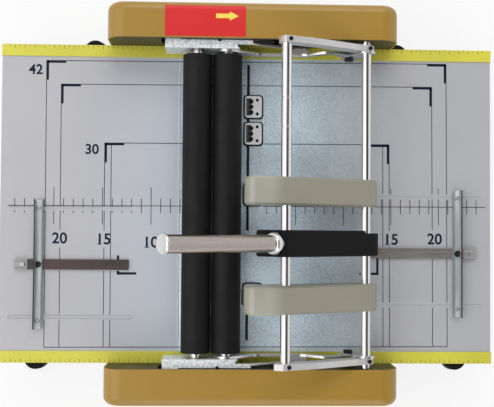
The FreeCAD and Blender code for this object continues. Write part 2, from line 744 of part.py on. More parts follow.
def fold_blade():
    """Comb-shaped blade: one strip with a tab for each free length of the slot."""
    half = BLADE_THICK / 2
    strip_top = -19.0
    blade = block(-half, half, BLADE_TABS[0][0], BLADE_TABS[-1][1], -32, strip_top)
    tabs = [block(-half, half, y0, y1, strip_top - 1, BLADE_TOP_H) for y0, y1 in BLADE_TABS]
    return blade.fuse(tabs)


def blade_carrier():
    """Beam that clamps the blade, with a cam pin at each end."""
    beam = block(-4, 4, -160, 160, -40, -24)
    groove = block(-BLADE_THICK / 2, BLADE_THICK / 2, BLADE_TABS[0][0], BLADE_TABS[-1][1], -32, -23)
    pins = [pin(upright(0, CAM_PIN_H, 0), 159, 177.5, CAM_PIN_RADIUS)]
    pins.append(pin(upright(0, CAM_PIN_H, 0), -177.5, -159, CAM_PIN_RADIUS))
    return beam.cut(groove).fuse(pins)


# Writing the sub-parts


def build_base():
    save("base_pan", base_pan())
    save("left_table", left_table())
    save("right_table", right_table())
    save_pair("ruler", ruler())
    save_pair("casing", casing())
    save_pair("side_plate", side_plate())
    save_pair("fixed_rack", fixed_rack())
    save_pair("slide_rail", slide_rail())
    for name, y in ANVILS.items():
        save("anvil_" + name, anvil(y))
    save("anvil_screws", *anvil_screws())
    save("feet", *[foot(x, y) for x, y in FEET])
    save("blade_guides", *both(blade_guide()))


def build_stops():
    for side, sign in (("left", -1), ("right", 1)):
        save("stop_rail_" + side, stop_rail(side, sign))
        save("stop_bar_" + side, stop_bar(side, sign))
        save("stop_screw_" + side, stop_screw(side, sign))


def build_carriage():
    save_pair("bracket", bracket())
    save_pair("side_link", side_link())
    save_pair("outer_link", outer_link())
    save("pivot_ears", *both(pivot_ear()))
    save("link_bolts", *both(link_bolt()))
    save_pair("slider_plate", slider_plate())
    bushes = both(roller_bush(ROLLER_LEFT_X, WEB_Y)) + both(roller_bush(ROLLER_RIGHT_X, LINK_Y))
    save("roller_bushes", *bushes)


def build_rollers():
    save("roller_shaft_left", roller_shaft(ROLLER_LEFT_X, 158.0, GEAR_OUT))
    save("roller_shaft_right", roller_shaft(ROLLER_RIGHT_X, PINION_OUT, PINION_OUT))
    save("roller_rubber_left", roller_rubber(ROLLER_LEFT_X))
    save("roller_rubber_right", roller_rubber(ROLLER_RIGHT_X))
    save("roller_gear_left", roller_gear(ROLLER_LEFT_X, 0))
    save("roller_gear_right", roller_gear(ROLLER_RIGHT_X, 180 + 180 / ROLLER_TEETH))
    save("roller_pinions", *both(roller_pinion()))


def build_press_frame():
    save("arm_front", mirrored(arm(105.0)))
    save("arm_back", arm(98.0))
    save("arm_screws", *[screw for a in (0.0, ROD_SPAN) for screw in both(arm_screw(a))])
    save("front_rod", front_rod())
    save("rear_rod", pin(upright(PIVOT_X, PIVOT_H, 0), -REAR_ROD_END, REAR_ROD_END, SHAFT_RADIUS))
    save("lever_arm", lever_arm())
    save("lever_tube", lever_tube())
    save("lever_caps", lever_ring(), lever_cap())
    for name, y in HEAD_CENTRES.items():
        save("head_cover_" + name, head_cover(y))
        save("magazine_" + name, magazine(y))
        save("pusher_" + name, pusher(y))


def build_blade():
    save("fold_blade", fold_blade())
    save("blade_carrier", blade_carrier())


os.makedirs("parts", exist_ok=True)
build_base()
build_stops()
build_carriage()
build_rollers()
build_press_frame()
build_blade()
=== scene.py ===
"""Looks of a manual booklet maker, seen from straight above.

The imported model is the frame. Every piece here is in metres in that frame: the origin is on the floor under
the middle of the fold slot, X runs to the right, Y to the back and Z up. Names of lengths in millimetres end
in mm.
"""

import logging
import math
from dataclasses import dataclass
from enum import Enum

import bmesh
import bpy
from mathutils import Euler, Matrix, Vector


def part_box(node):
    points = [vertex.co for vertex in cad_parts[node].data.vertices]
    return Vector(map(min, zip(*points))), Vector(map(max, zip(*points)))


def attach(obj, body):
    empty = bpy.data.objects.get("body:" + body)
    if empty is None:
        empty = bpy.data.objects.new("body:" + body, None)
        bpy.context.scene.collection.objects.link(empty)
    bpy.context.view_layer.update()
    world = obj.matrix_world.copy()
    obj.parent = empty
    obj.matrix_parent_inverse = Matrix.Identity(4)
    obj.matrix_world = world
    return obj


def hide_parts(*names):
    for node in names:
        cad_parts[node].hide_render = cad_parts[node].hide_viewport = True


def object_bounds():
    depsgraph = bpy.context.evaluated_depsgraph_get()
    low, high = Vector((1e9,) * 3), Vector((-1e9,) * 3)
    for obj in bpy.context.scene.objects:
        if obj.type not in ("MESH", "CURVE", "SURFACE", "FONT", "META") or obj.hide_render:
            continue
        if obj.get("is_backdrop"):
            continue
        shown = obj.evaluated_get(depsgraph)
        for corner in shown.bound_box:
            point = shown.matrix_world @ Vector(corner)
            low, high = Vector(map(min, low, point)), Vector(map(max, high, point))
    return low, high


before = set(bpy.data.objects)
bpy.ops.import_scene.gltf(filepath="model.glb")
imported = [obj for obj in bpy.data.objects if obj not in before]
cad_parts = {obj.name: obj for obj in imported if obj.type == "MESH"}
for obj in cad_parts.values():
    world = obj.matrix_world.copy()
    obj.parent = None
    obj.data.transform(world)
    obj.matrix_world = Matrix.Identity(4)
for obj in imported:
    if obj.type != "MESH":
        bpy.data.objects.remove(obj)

MM = 0.001
ROUND_END_STEPS = 24
SHARP_ANGLE = math.radians(35)
CAD_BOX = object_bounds()
log = logging.getLogger("booklet_maker")

Colour = tuple[float, float, float]


class Grain(Enum):
    """What the small scale of a surface looks like."""

    PAINT = "paint"
    MOULDED = "moulded"
    RUBBER = "rubber"
    BRUSHED = "brushed"
    POLISHED = "polished"
    SPANGLE = "spangle"


class Axis(Enum):
    """An axis of the row frame, with its place in a vector."""

    X = 0
    Y = 1
    Z = 2


@dataclass(frozen=True)
class Zones:
    """Tones that follow each other along an axis: painted light, shade and reflection on a part, in places.

    Attributes:
        axis: Axis that the tones follow.
        stops: Places in metres, each with a factor for red, green and blue.
    """

    axis: Axis
    stops: tuple[tuple[float, Colour], ...]

    def factor(self, tree: "NodeTree", place: bpy.types.NodeSocket) -> bpy.types.NodeSocket:
        """Returns the factor at each point of the surface.

        Args:
            tree: Node tree that the nodes are added to.
            place: Object coordinates.

        Returns:
            A colour that multiplies the finish's own.
        """
        first, last = self.stops[0][0], self.stops[-1][0]
        share = tree.share(tree.component(place, self.axis), first, last)
        length = last - first
        return tree.ramp(share, [((where - first) / length, tone) for where, tone in self.stops])


@dataclass(frozen=True)
class Finish:
    """One surface finish.

    Attributes:
        name: Name of the material.
        colour: Mean colour, linear.
        grain: Kind of small-scale detail.
        roughness: Lowest and highest roughness.
        metallic: 1 for bare metal, 0 for paint, plastic and rubber.
        spread: How far the colour wanders from its mean, as a share.
        along: Axis that brushing runs along.
        bump: Strength of the relief.
        coat: Strength of a clear coat.
        specular: Strength of the surface's own gloss.
        edge: Radius in metres to which edges look rounded, and within which they are rubbed.
        rubbed: Factor on the colour where an edge is rubbed.
        zones: Painted light, shade and reflection along an axis, if the finish has them.
    """

    name: str
    colour: Colour
    grain: Grain
    roughness: tuple[float, float] = (0.35, 0.5)
    metallic: float = 0.0
    spread: float = 0.05
    along: Axis = Axis.X
    bump: float = 0.05
    coat: float = 0.0
    specular: float = 0.5
    edge: float = 0.0005
    rubbed: float = 1.25
    zones: Zones | None = None

    def material(self) -> bpy.types.Material:
        """Builds the material, or returns it where it exists.

        Returns:
            The material with its node tree.
        """
        title = self.name + LOOK
        known = bpy.data.materials.get(title)
        if known:
            return known
        material = bpy.data.materials.new(title)
        material.use_nodes = True
        tree = NodeTree(material.node_tree)
        shader = material.node_tree.nodes["Principled BSDF"]
        shader.inputs["Metallic"].default_value = self.metallic
        shader.inputs["Coat Weight"].default_value = self.coat
        shader.inputs["Coat Roughness"].default_value = COAT_ROUGHNESS
        shader.inputs["Specular IOR Level"].default_value = self.specular
        plain = tree.object_place((1.0, 1.0, 1.0))
        place = tree.object_place(self._stretch())
        rounded = tree.rounded(self.edge)
        colour = self._colour(tree, plain, place)
        wear = tree.noise(plain, WEAR_SCALE, FINE_DETAIL)
        rub = tree.times(tree.edges(rounded), tree.ranged(wear, *RUB_RANGE))
        colour = tree.mixed(rub, colour, tree.tinted(colour, self.rubbed))
        tree.link(colour, shader.inputs["Base Color"])
        tree.link(tree.ranged(wear, *self.roughness), shader.inputs["Roughness"])
        relief = tree.noise(place, RELIEF_SCALE[self.grain], FINE_DETAIL)
        tree.link(tree.relief(relief, self.bump, rounded), shader.inputs["Normal"])
        return material

    def _colour(
        self, tree: "NodeTree", plain: bpy.types.NodeSocket, place: bpy.types.NodeSocket
    ) -> bpy.types.NodeSocket:
        """Returns the colour with its mottle and its painted light and shade along an axis, before any
        rubbing.
        """
        low, high = self._tone(1 - self.spread), self._tone(1 + self.spread)
        colour = tree.two_tones(self._mottle(tree, place), low, high)
        if self.zones is None:
            return colour
        return tree.multiplied(colour, self.zones.factor(tree, plain))

    def _tone(self, factor: float) -> Colour:
        """Returns the mean colour, lighter or darker by a factor."""
        return tuple(min(1.0, channel * factor) for channel in self.colour)

    def _stretch(self) -> tuple[float, float, float]:
        """Returns the pattern's scale on each axis, small along the brushing."""
        if self.grain is not Grain.BRUSHED:
            return (1.0, 1.0, 1.0)
        return tuple(BRUSH_ALONG if axis is self.along else BRUSH_ACROSS for axis in Axis)

    def _mottle(self, tree: "NodeTree", place: bpy.types.NodeSocket) -> bpy.types.NodeSocket:
        """Returns the pattern that carries the colour's variation."""
        if self.grain is Grain.SPANGLE:
            return tree.crystals(place, CRYSTAL_SCALE)
        return tree.noise(place, MOTTLE_SCALE[self.grain], MOTTLE_DETAIL)


@dataclass(frozen=True)
class ZincSheet(Finish):
    """Sheet that is bare, cloudy zinc near the fold slot and plain paint further out, with painted light that
    makes the zinc lighter towards the front.

    Attributes:
        zinc: Mean colour of the zinc, linear.
        cloud: Factor on the zinc's colour in its lightest clouds.
        bare_until: Place in metres up to which the zinc shows fully.
        plain_from: Place in metres from which only paint shows.
        painted_light_span: Places in metres along Y between which painted light makes the zinc lighter
            towards the front.
        painted_light_gain: Factor of the painted light on the zinc's colour at the front.
        cloud_scale: Scale of the clouds' pattern.
        crystal_scale: Scale of the fine crystals' pattern.
        crystal_tones: Factor on the colour in the darkest and in the lightest crystals.
    """

    zinc: Colour = (0.4, 0.475, 0.53)
    cloud: float = 1.5
    bare_until: float = 0.06
    plain_from: float = 0.15
    painted_light_span: tuple[float, float] = (0.04, -0.06)
    painted_light_gain: float = 1.5
    cloud_scale: float = 16.0
    crystal_scale: float = 420.0
    crystal_tones: tuple[float, float] = (0.85, 1.15)

    def _colour(
        self, tree: "NodeTree", plain: bpy.types.NodeSocket, place: bpy.types.NodeSocket
    ) -> bpy.types.NodeSocket:
        """Returns clouds and fine crystals of zinc, lighter towards the front by painted light, that fade
        into the paint.
        """
        clouds = tree.ranged(tree.noise(plain, self.cloud_scale, 7.0), 0.0, 1.0)
        crystals = tree.ranged(tree.noise(plain, self.crystal_scale, 2.0), *self.crystal_tones)
        light = tuple(channel * self.cloud for channel in self.zinc)
        zinc = tree.multiplied(tree.mixed(clouds, tree.flat(self.zinc), tree.flat(light)), crystals)
        dark, pale = self._tone(1 - self.spread), self._tone(1 + self.spread)
        paint = tree.two_tones(tree.noise(plain, MOTTLE_SCALE[self.grain], MOTTLE_DETAIL), dark, pale)
        # Painted light: lighten the zinc towards the front.
        front = tree.share(tree.component(plain, Axis.Y), *self.painted_light_span)
        zinc = tree.mixed(front, zinc, tree.tinted(zinc, self.painted_light_gain))
        fade = tree.share(tree.component(plain, Axis.X), self.bare_until, self.plain_from)
        return tree.mixed(fade, zinc, paint)


LOOK = "_look"  # ends the names here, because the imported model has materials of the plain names
WEAR_SCALE = 34.0
RUB_RANGE = (0.1, 1.0)
FINE_DETAIL = 4.0
MOTTLE_DETAIL = 5.0
RELIEF_DEPTH = 0.0005
CRYSTAL_SCALE = 700.0
EDGE_MATCH = (0.995, 0.88)  # cosines between the two normals, off an edge and on it
BRUSH_ALONG = 0.04
BRUSH_ACROSS = 2.2
COAT_ROUGHNESS = 0.25
RELIEF_SCALE = {
    Grain.PAINT: 900.0,
    Grain.MOULDED: 1500.0,
    Grain.RUBBER: 1100.0,
    Grain.BRUSHED: 900.0,
    Grain.POLISHED: 200.0,
    Grain.SPANGLE: 260.0,
}
MOTTLE_SCALE = {
    Grain.PAINT: 14.0,
    Grain.MOULDED: 35.0,
    Grain.RUBBER: 60.0,
    Grain.BRUSHED: 500.0,
    Grain.POLISHED: 40.0,
}


class NodeTree:
    """Short names for the nodes that the finishes use."""

    def __init__(self, tree: bpy.types.NodeTree) -> None:
        """Keeps the tree that nodes are added to."""
        self.tree = tree

    def link(self, source: bpy.types.NodeSocket, target: bpy.types.NodeSocket) -> None:
        """Links one socket to another."""
        self.tree.links.new(source, target)

    def object_place(self, scale: tuple[float, float, float]) -> bpy.types.NodeSocket:
        """Returns Object coordinates, scaled on each axis."""
        where = self.tree.nodes.new("ShaderNodeTexCoord")
        mapping = self.tree.nodes.new("ShaderNodeMapping")
        mapping.inputs["Scale"].default_value = scale
        self.link(where.outputs["Object"], mapping.inputs["Vector"])
        return mapping.outputs["Vector"]

    def component(self, place: bpy.types.NodeSocket, axis: Axis) -> bpy.types.NodeSocket:
        """Returns a vector's part along an axis."""
        node = self.tree.nodes.new("ShaderNodeSeparateXYZ")
        self.link(place, node.inputs["Vector"])
        return node.outputs[axis.value]

    def noise(self, place: bpy.types.NodeSocket, scale: float, detail: float) -> bpy.types.NodeSocket:
        """Returns a noise pattern's value."""
        node = self.tree.nodes.new("ShaderNodeTexNoise")
        node.inputs["Scale"].default_value = scale
        node.inputs["Detail"].default_value = detail
        self.link(place, node.inputs["Vector"])
        return node.outputs["Fac"]

    def crystals(self, place: bpy.types.NodeSocket, scale: float) -> bpy.types.NodeSocket:
        """Returns one value per crystal of a zinc coating."""
        node = self.tree.nodes.new("ShaderNodeTexVoronoi")
        node.inputs["Scale"].default_value = scale
        self.link(place, node.inputs["Vector"])
        split = self.tree.nodes.new("ShaderNodeSeparateColor")
        self.link(node.outputs["Color"], split.inputs["Color"])
        return split.outputs["Red"]

    def share(self, value: bpy.types.NodeSocket, start: float, end: float) -> bpy.types.NodeSocket:
        """Returns how far a value is from start to end, from 0 to 1."""
        node = self.tree.nodes.new("ShaderNodeMapRange")
        node.inputs["From Min"].default_value = start
        node.inputs["From Max"].default_value = end
        self.link(value, node.inputs["Value"])
        return node.outputs["Result"]

    def ranged(self, value: bpy.types.NodeSocket, low: float, high: float) -> bpy.types.NodeSocket:
        """Returns a pattern's middle part, spread over a range."""
        node = self.tree.nodes.new("ShaderNodeMapRange")
        node.inputs["From Min"].default_value = 0.3
        node.inputs["From Max"].default_value = 0.7
        node.inputs["To Min"].default_value = low
        node.inputs["To Max"].default_value = high
        self.link(value, node.inputs["Value"])
        return node.outputs["Result"]

    def ramp(self, value: bpy.types.NodeSocket, stops: list[tuple[float, Colour]]) -> bpy.types.NodeSocket:
        """Returns a colour that follows a value from 0 to 1 through stops."""
        node = self.tree.nodes.new("ShaderNodeValToRGB")
        elements = node.color_ramp.elements
        elements[0].position, elements[1].position = stops[0][0], stops[-1][0]
        for where, _ in stops[1:-1]:
            elements.new(where)
        for element, (_, tone) in zip(elements, stops):
            element.color = (*tone, 1.0)
        self.link(value, node.inputs["Fac"])
        return node.outputs["Color"]

    def two_tones(self, value: bpy.types.NodeSocket, dark: Colour, light: Colour) -> bpy.types.NodeSocket:
        """Returns a colour between two tones, by a pattern."""
        return self.ramp(value, [(0.3, dark), (0.7, light)])

    def flat(self, colour: Colour) -> bpy.types.NodeSocket:
        """Returns one colour."""
        node = self.tree.nodes.new("ShaderNodeRGB")
        node.outputs[0].default_value = (*colour, 1.0)
        return node.outputs[0]

    def mixed(
        self, share: bpy.types.NodeSocket, first: bpy.types.NodeSocket, second: bpy.types.NodeSocket
    ) -> bpy.types.NodeSocket:
        """Returns two colours mixed by the second one's share."""
        return self._mix("MIX", share, first, second)

    def multiplied(self, first: bpy.types.NodeSocket, second: bpy.types.NodeSocket) -> bpy.types.NodeSocket:
        """Returns the product of two colours."""
        return self._mix("MULTIPLY", None, first, second)

    def tinted(self, colour: bpy.types.NodeSocket, factor: float) -> bpy.types.NodeSocket:
        """Returns a colour that is lighter or darker by a factor."""
        return self.multiplied(colour, self.flat((factor, factor, factor)))

    def _mix(
        self,
        kind: str,
        share: bpy.types.NodeSocket | None,
        first: bpy.types.NodeSocket,
        second: bpy.types.NodeSocket,
    ) -> bpy.types.NodeSocket:
        """Returns what one colour mixing node makes of two colours."""
        node = self.tree.nodes.new("ShaderNodeMix")
        node.data_type = "RGBA"
        node.blend_type = kind
        factor, _, _, _, _, _, colour_a, colour_b = node.inputs[:8]
        factor.default_value = 1.0
        if share is not None:
            self.link(share, factor)
        self.link(first, colour_a)
        self.link(second, colour_b)
        return node.outputs[2]

    def times(self, first: bpy.types.NodeSocket, second: bpy.types.NodeSocket) -> bpy.types.NodeSocket:
        """Returns the product of two values."""
        node = self.tree.nodes.new("ShaderNodeMath")
        node.operation = "MULTIPLY"
        self.link(first, node.inputs[0])
        self.link(second, node.inputs[1])
        return node.outputs[0]

    def rounded(self, radius: float) -> bpy.types.NodeSocket:
        """Returns the normal of a surface whose edges look rounded."""
        node = self.tree.nodes.new("ShaderNodeBevel")
        node.samples = 4
        node.inputs["Radius"].default_value = radius
        return node.outputs["Normal"]

    def edges(self, rounded: bpy.types.NodeSocket) -> bpy.types.NodeSocket:
        """Returns 1 on edges, where the rounded normal leaves the true one, and 0 away from them."""
        true = self.tree.nodes.new("ShaderNodeNewGeometry")
        match = self.tree.nodes.new("ShaderNodeVectorMath")
        match.operation = "DOT_PRODUCT"
        self.link(rounded, match.inputs[0])
        self.link(true.outputs["Normal"], match.inputs[1])
        return self.share(match.outputs["Value"], *EDGE_MATCH)

    def relief(
        self, value: bpy.types.NodeSocket, strength: float, normal: bpy.types.NodeSocket
    ) -> bpy.types.NodeSocket:
        """Returns a normal bumped by a pattern."""
        node = self.tree.nodes.new("ShaderNodeBump")
        node.inputs["Strength"].default_value = strength
        node.inputs["Distance"].default_value = RELIEF_DEPTH
        self.link(value, node.inputs["Height"])
        self.link(normal, node.inputs["Normal"])
        return node.outputs["Normal"]


# Finishes

# Painted light on the left sheet: lighter towards its right edge by the rollers, and a painted highlight
# along that edge.
LEFT_SHEET_PAINTED_LIGHT = Zones(
    Axis.X,
    (
        (-0.25, (1.0, 0.99, 0.98)),
        (-0.16, (1.0, 1.0, 1.0)),
        (-0.0735, (1.08, 1.16, 1.23)),
        (-0.0694, (1.5, 1.62, 1.72)),
    ),
)
# Painted shade in the clinch wells: black at their floor, rising to the plate's own colour at its top.
ANVIL_PAINTED_SHADE = Zones(
    Axis.Z,
    (
        (0.0612, (0.01, 0.01, 0.01)),
        (0.0614, (0.06, 0.06, 0.065)),
        (0.0619, (0.2, 0.2, 0.21)),
        (0.0622, (1.0, 1.0, 1.0)),
    ),
)
# Painted light on the fences by height: a dark stripe of painted shade on the hem along the inner edge, the
# wall a little lighter towards its top as a painted highlight, and painted shade on the wall's top edge.
FENCE_PAINTED_LIGHT = Zones(
    Axis.Z,
    (
        (0.0600, (1.0, 1.0, 1.0)),
        (0.0640, (1.0, 1.0, 1.0)),
        (0.0643, (0.22, 0.23, 0.23)),
        (0.0650, (0.22, 0.23, 0.23)),
        (0.0654, (1.0, 1.0, 1.0)),
        (0.0700, (1.1, 1.1, 1.1)),
        (0.0706, (0.08, 0.07, 0.07)),
    ),
)
# Painted reflection along the rails: the left rail dark and brownish, the right one lighter, and both ends
# much lighter.
RAIL_PAINTED_REFLECTION = Zones(
    Axis.X,
    (
        (-0.24, (1.25, 1.35, 1.45)),
        (-0.2245, (1.25, 1.35, 1.45)),
        (-0.223, (0.2, 0.18, 0.17)),
        (-0.2, (0.3, 0.21, 0.2)),
        (-0.13, (0.22, 0.18, 0.17)),
        (0.12, (0.9, 0.92, 0.94)),
        (0.223, (0.84, 0.86, 0.87)),
        (0.2245, (1.6, 1.7, 1.8)),
        (0.24, (1.6, 1.7, 1.8)),
    ),
)
# Painted light on the stapler heads: the nose lighter, as where light falls on it more fully, and the rear a
# little darker.
HEAD_PAINTED_LIGHT = Zones(
    Axis.X,
    (
        (-0.005, (1.35, 1.38, 1.45)),
        (0.018, (1.4, 1.42, 1.5)),
        (0.032, (1.02, 1.02, 1.02)),
        (0.13, (0.97, 0.97, 0.96)),
    ),
)

TABLE_PAINT = Finish(
    "table_paint", (0.432, 0.437, 0.462), Grain.PAINT, (0.3, 0.4), 0.0, 0.025, bump=0.03, coat=0.1,
    zones=LEFT_SHEET_PAINTED_LIGHT,
)
RIGHT_SHEET = ZincSheet(
    "right_sheet", (0.415, 0.42, 0.44), Grain.PAINT, (0.28, 0.4), 0.0, 0.025, bump=0.04, coat=0.15,
)
RULER_YELLOW = Finish("ruler_yellow", (0.62, 0.58, 0.06), Grain.PAINT, (0.35, 0.5), 0.0, 0.1, bump=0.04)
CASING_GOLD = Finish(
    "casing_gold", (0.335, 0.195, 0.022), Grain.PAINT, (0.33, 0.42), 0.0, 0.03, bump=0.03, coat=0.15,
    edge=0.001,
)
PLATE_OLIVE = Finish("plate_olive", (0.05, 0.042, 0.015), Grain.PAINT, (0.4, 0.55), 0.0, 0.1)
PAN_GREY = Finish("pan_grey", (0.2, 0.2, 0.21), Grain.PAINT, (0.4, 0.55), 0.0, 0.06)
ZINC = Finish("zinc", (0.8, 0.93, 0.97), Grain.SPANGLE, (0.22, 0.4), 0.15, 0.25, bump=0.2)
LINK_STEEL = Finish("link_steel", (0.74, 0.74, 0.74), Grain.POLISHED, (0.12, 0.22), 1.0, 0.05, bump=0.02)
DARK_STEEL = Finish("dark_steel", (0.3, 0.3, 0.31), Grain.BRUSHED, (0.35, 0.5), 1.0, 0.1)
CLINCH_STEEL = Finish(
    "clinch_steel", (0.82, 0.83, 0.83), Grain.BRUSHED, (0.25, 0.38), 0.4, 0.06, Axis.Y, zones=ANVIL_PAINTED_SHADE,
)
SCREW_STEEL = Finish("screw_steel", (0.5, 0.5, 0.5), Grain.POLISHED, (0.25, 0.4), 1.0, 0.08)
DARK_SCREW = Finish(
    "dark_screw", (0.02, 0.02, 0.022), Grain.POLISHED, (0.3, 0.45), 0.3, 0.1, specular=0.3,
)
FOOT_RUBBER = Finish(
    "foot_rubber", (0.008, 0.008, 0.009), Grain.RUBBER, (0.6, 0.8), 0.0, 0.2, bump=0.2, specular=0.2,
)
GUIDE_PLASTIC = Finish(
    "guide_plastic", (0.008, 0.008, 0.008), Grain.MOULDED, (0.5, 0.65), 0.0, 0.1, specular=0.15,
)
RAIL_STEEL = Finish(
    "rail_steel", (0.235, 0.215, 0.2), Grain.BRUSHED, (0.35, 0.48), 0.35, 0.3, zones=RAIL_PAINTED_REFLECTION,
)
STOP_STEEL = Finish(
    "stop_steel", (0.5, 0.54, 0.54), Grain.BRUSHED, (0.36, 0.5), 0.7, 0.08, Axis.Y, edge=0.0002,
    rubbed=1.0, zones=FENCE_PAINTED_LIGHT,
)
BUSH_BRASS = Finish("bush_brass", (0.45, 0.3, 0.1), Grain.POLISHED, (0.25, 0.4), 1.0, 0.06)
SHAFT_STEEL = Finish("shaft_steel", (0.75, 0.75, 0.75), Grain.POLISHED, (0.1, 0.2), 1.0, 0.03)
ROLLER_RUBBER = Finish(
    "roller_rubber", (0.006, 0.006, 0.0065), Grain.RUBBER, (0.5, 0.65), 0.0, 0.2, bump=0.12,
    specular=0.22, rubbed=1.6,
)
GEAR_PLASTIC = Finish("gear_plastic", (0.7, 0.69, 0.64), Grain.MOULDED, (0.4, 0.5), 0.0, 0.04)
ARM_METAL = Finish("arm_metal", (0.62, 0.61, 0.6), Grain.BRUSHED, (0.3, 0.42), 0.6, 0.05)
ROD_CHROME = Finish(
    "rod_chrome", (0.8, 0.78, 0.79), Grain.POLISHED, (0.05, 0.1), 1.0, 0.02, bump=0.01, edge=0.0002,
)
LEVER_BLACK = Finish(
    "lever_black", (0.004, 0.004, 0.0042), Grain.MOULDED, (0.45, 0.55), 0.0, 0.12, bump=0.08,
    specular=0.14, rubbed=2.0,
)
TUBE_SATIN = Finish("tube_satin", (0.42, 0.37, 0.345), Grain.BRUSHED, (0.17, 0.26), 1.0, 0.08)
CAP_CHROME = Finish("cap_chrome", (0.7, 0.7, 0.7), Grain.POLISHED, (0.04, 0.09), 1.0, 0.02, bump=0.01)
HEAD_BEIGE = Finish(
    "head_beige", (0.275, 0.265, 0.21), Grain.MOULDED, (0.32, 0.42), 0.0, 0.03, bump=0.04, coat=0.1,
    edge=0.0008, zones=HEAD_PAINTED_LIGHT,
)
MAGAZINE_STEEL = Finish("magazine_steel", (0.55, 0.55, 0.55), Grain.BRUSHED, (0.25, 0.4), 1.0, 0.08)
BLADE_STEEL = Finish("blade_steel", (0.02, 0.02, 0.02), Grain.BRUSHED, (0.4, 0.5), 0.5, 0.1, Axis.Y)
PRINT_NAVY = Finish(
    "print_navy", (0.004, 0.004, 0.025), Grain.PAINT, (0.4, 0.5), 0.0, 0.15, bump=0.01, specular=0.2,
)
PRINT_LINE = Finish(
    "print_line", (0.05, 0.052, 0.075), Grain.PAINT, (0.4, 0.5), 0.0, 0.15, bump=0.01, specular=0.2,
)
STICKER_RED = Finish(
    "sticker_red", (0.62, 0.022, 0.022), Grain.PAINT, (0.35, 0.45), 0.0, 0.04, bump=0.02, specular=0.3,
)
STICKER_YELLOW = Finish(
    "sticker_yellow", (0.88, 0.66, 0.1), Grain.PAINT, (0.3, 0.4), 0.0, 0.04, bump=0.02,
)


def dress(finish: Finish, *nodes: str) -> None:
    """Gives CAD nodes a finish.

    Args:
        finish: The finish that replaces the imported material.
        *nodes: Names of CAD nodes.
    """
    for node in nodes:
        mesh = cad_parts[node].data
        mesh.materials.clear()
        mesh.materials.append(finish.material())


def finished(
    name: str, shape: bmesh.types.BMesh, finish: Finish, body: str, smooth: bool = False
) -> bpy.types.Object:
    """Turns a bmesh into a piece that rides on a body.

    Args:
        name: Name of the piece.
        shape: The bmesh, in metres in the row frame; it is freed.
        finish: Finish of the piece.
        body: Body that the piece rides on.
        smooth: True for a piece with round faces.

    Returns:
        The new object.
    """
    mesh = bpy.data.meshes.new(name)
    bmesh.ops.recalc_face_normals(shape, faces=shape.faces)
    shape.to_mesh(mesh)
    shape.free()
    if smooth:
        mesh.shade_smooth()
        mesh.set_sharp_from_angle(angle=SHARP_ANGLE)
    mesh.materials.append(finish.material())
    piece = bpy.data.objects.new(name, mesh)
    bpy.context.scene.collection.objects.link(piece)
    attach(piece, body)
    log.info("%s: %d faces on %s", name, len(mesh.polygons), body)
    return piece


def add_block(shape: bmesh.types.BMesh, low: Vector, high: Vector) -> None:
    """Adds a block between two corners, in metres.

    Args:
        shape: The bmesh that takes the block.
        low: Lowest corner.
        high: Highest corner.
    """
    size = high - low
    place = Matrix.Translation((low + high) / 2) @ Matrix.Diagonal((*size, 1.0))
    bmesh.ops.create_cube(shape, size=1.0, matrix=place)


def soften(shape: bmesh.types.BMesh, radius: float, segments: int = 2) -> None:
    """Rounds every edge of a shape.

    Args:
        shape: The bmesh to round.
        radius: Radius in metres.
        segments: Steps across each rounded edge.
    """
    bmesh.ops.bevel(
        shape, geom=shape.edges, offset=radius, segments=segments, profile=0.5, affect="EDGES", material=-1
    )


def turned(
    profile: list[tuple[float, float]], root: Vector, along: Vector, steps: int = 48
) -> bmesh.types.BMesh:
    """Spins a profile about an axis.

    Args:
        profile: Points as (place along the axis, radius), in metres; a ring's profile ends where it starts.
        root: A point of the axis.
        along: The axis, of length 1.
        steps: Steps of the full turn.

    Returns:
        The turned shape.
    """
    shape = bmesh.new()
    side = along.orthogonal().normalized()
    points = [shape.verts.new(root + along * place + side * radius) for place, radius in profile]
    edges = [shape.edges.new(pair) for pair in zip(points, points[1:])]
    bmesh.ops.spin(
        shape, geom=points + edges, cent=root, axis=along, angle=math.tau, steps=steps, use_merge=True
    )
    bmesh.ops.remove_doubles(shape, verts=shape.verts, dist=1e-6)
    return shape


def pan_head(place: Vector, radius: float, height: float) -> bmesh.types.BMesh:
    """Makes a pan head with a socket, standing on a point.

    Args:
        place: Middle of the head's underside.
        radius: Radius of the head.
        height: Height of the head.

    Returns:
        The head's shape.
    """
    socket, floor = radius * 0.45, height * 0.4
    profile = [(0.0, 0.0), (0.0, radius), (height * 0.5, radius), (height * 0.85, radius * 0.86)]
    profile += [(height, radius * 0.62), (height, socket), (floor, socket), (floor, 0.0)]
    return turned(profile, place, Vector((0.0, 0.0, 1.0)), 24)


TYPE_SIZE = 1.36  # a font's size over the height of its digits
TYPE_WEIGHT = 0.00032  # how far a digit's outline is moved outwards, in metres


@dataclass(frozen=True)
class Bare:
    """A place on the table that takes no print, in millimetres."""

    left: float
    right: float
    front: float
    back: float


def runs_between(start: float, end: float, gaps: list[tuple[float, float]]) -> list[tuple[float, float]]:
    """Splits a stretch at its gaps.

    Args:
        start: Lower end of the stretch.
        end: Upper end of the stretch.
        gaps: Lower and upper end of each gap.

    Returns:
        The runs that are left.
    """
    runs, place = [], start
    for low, high in sorted(gaps):
        if low > place:
            runs.append((place, min(low, end)))
        place = max(place, high)
    if place < end:
        runs.append((place, end))
    return [(low, high) for low, high in runs if high - low > 0.3]


class SubAssembly:
    """A group of pieces that is dressed first and then completed with new pieces."""

    def dress(self) -> None:
        """Gives the CAD nodes their finishes."""

    def build(self) -> None:
        """Builds the new pieces, where there are any."""


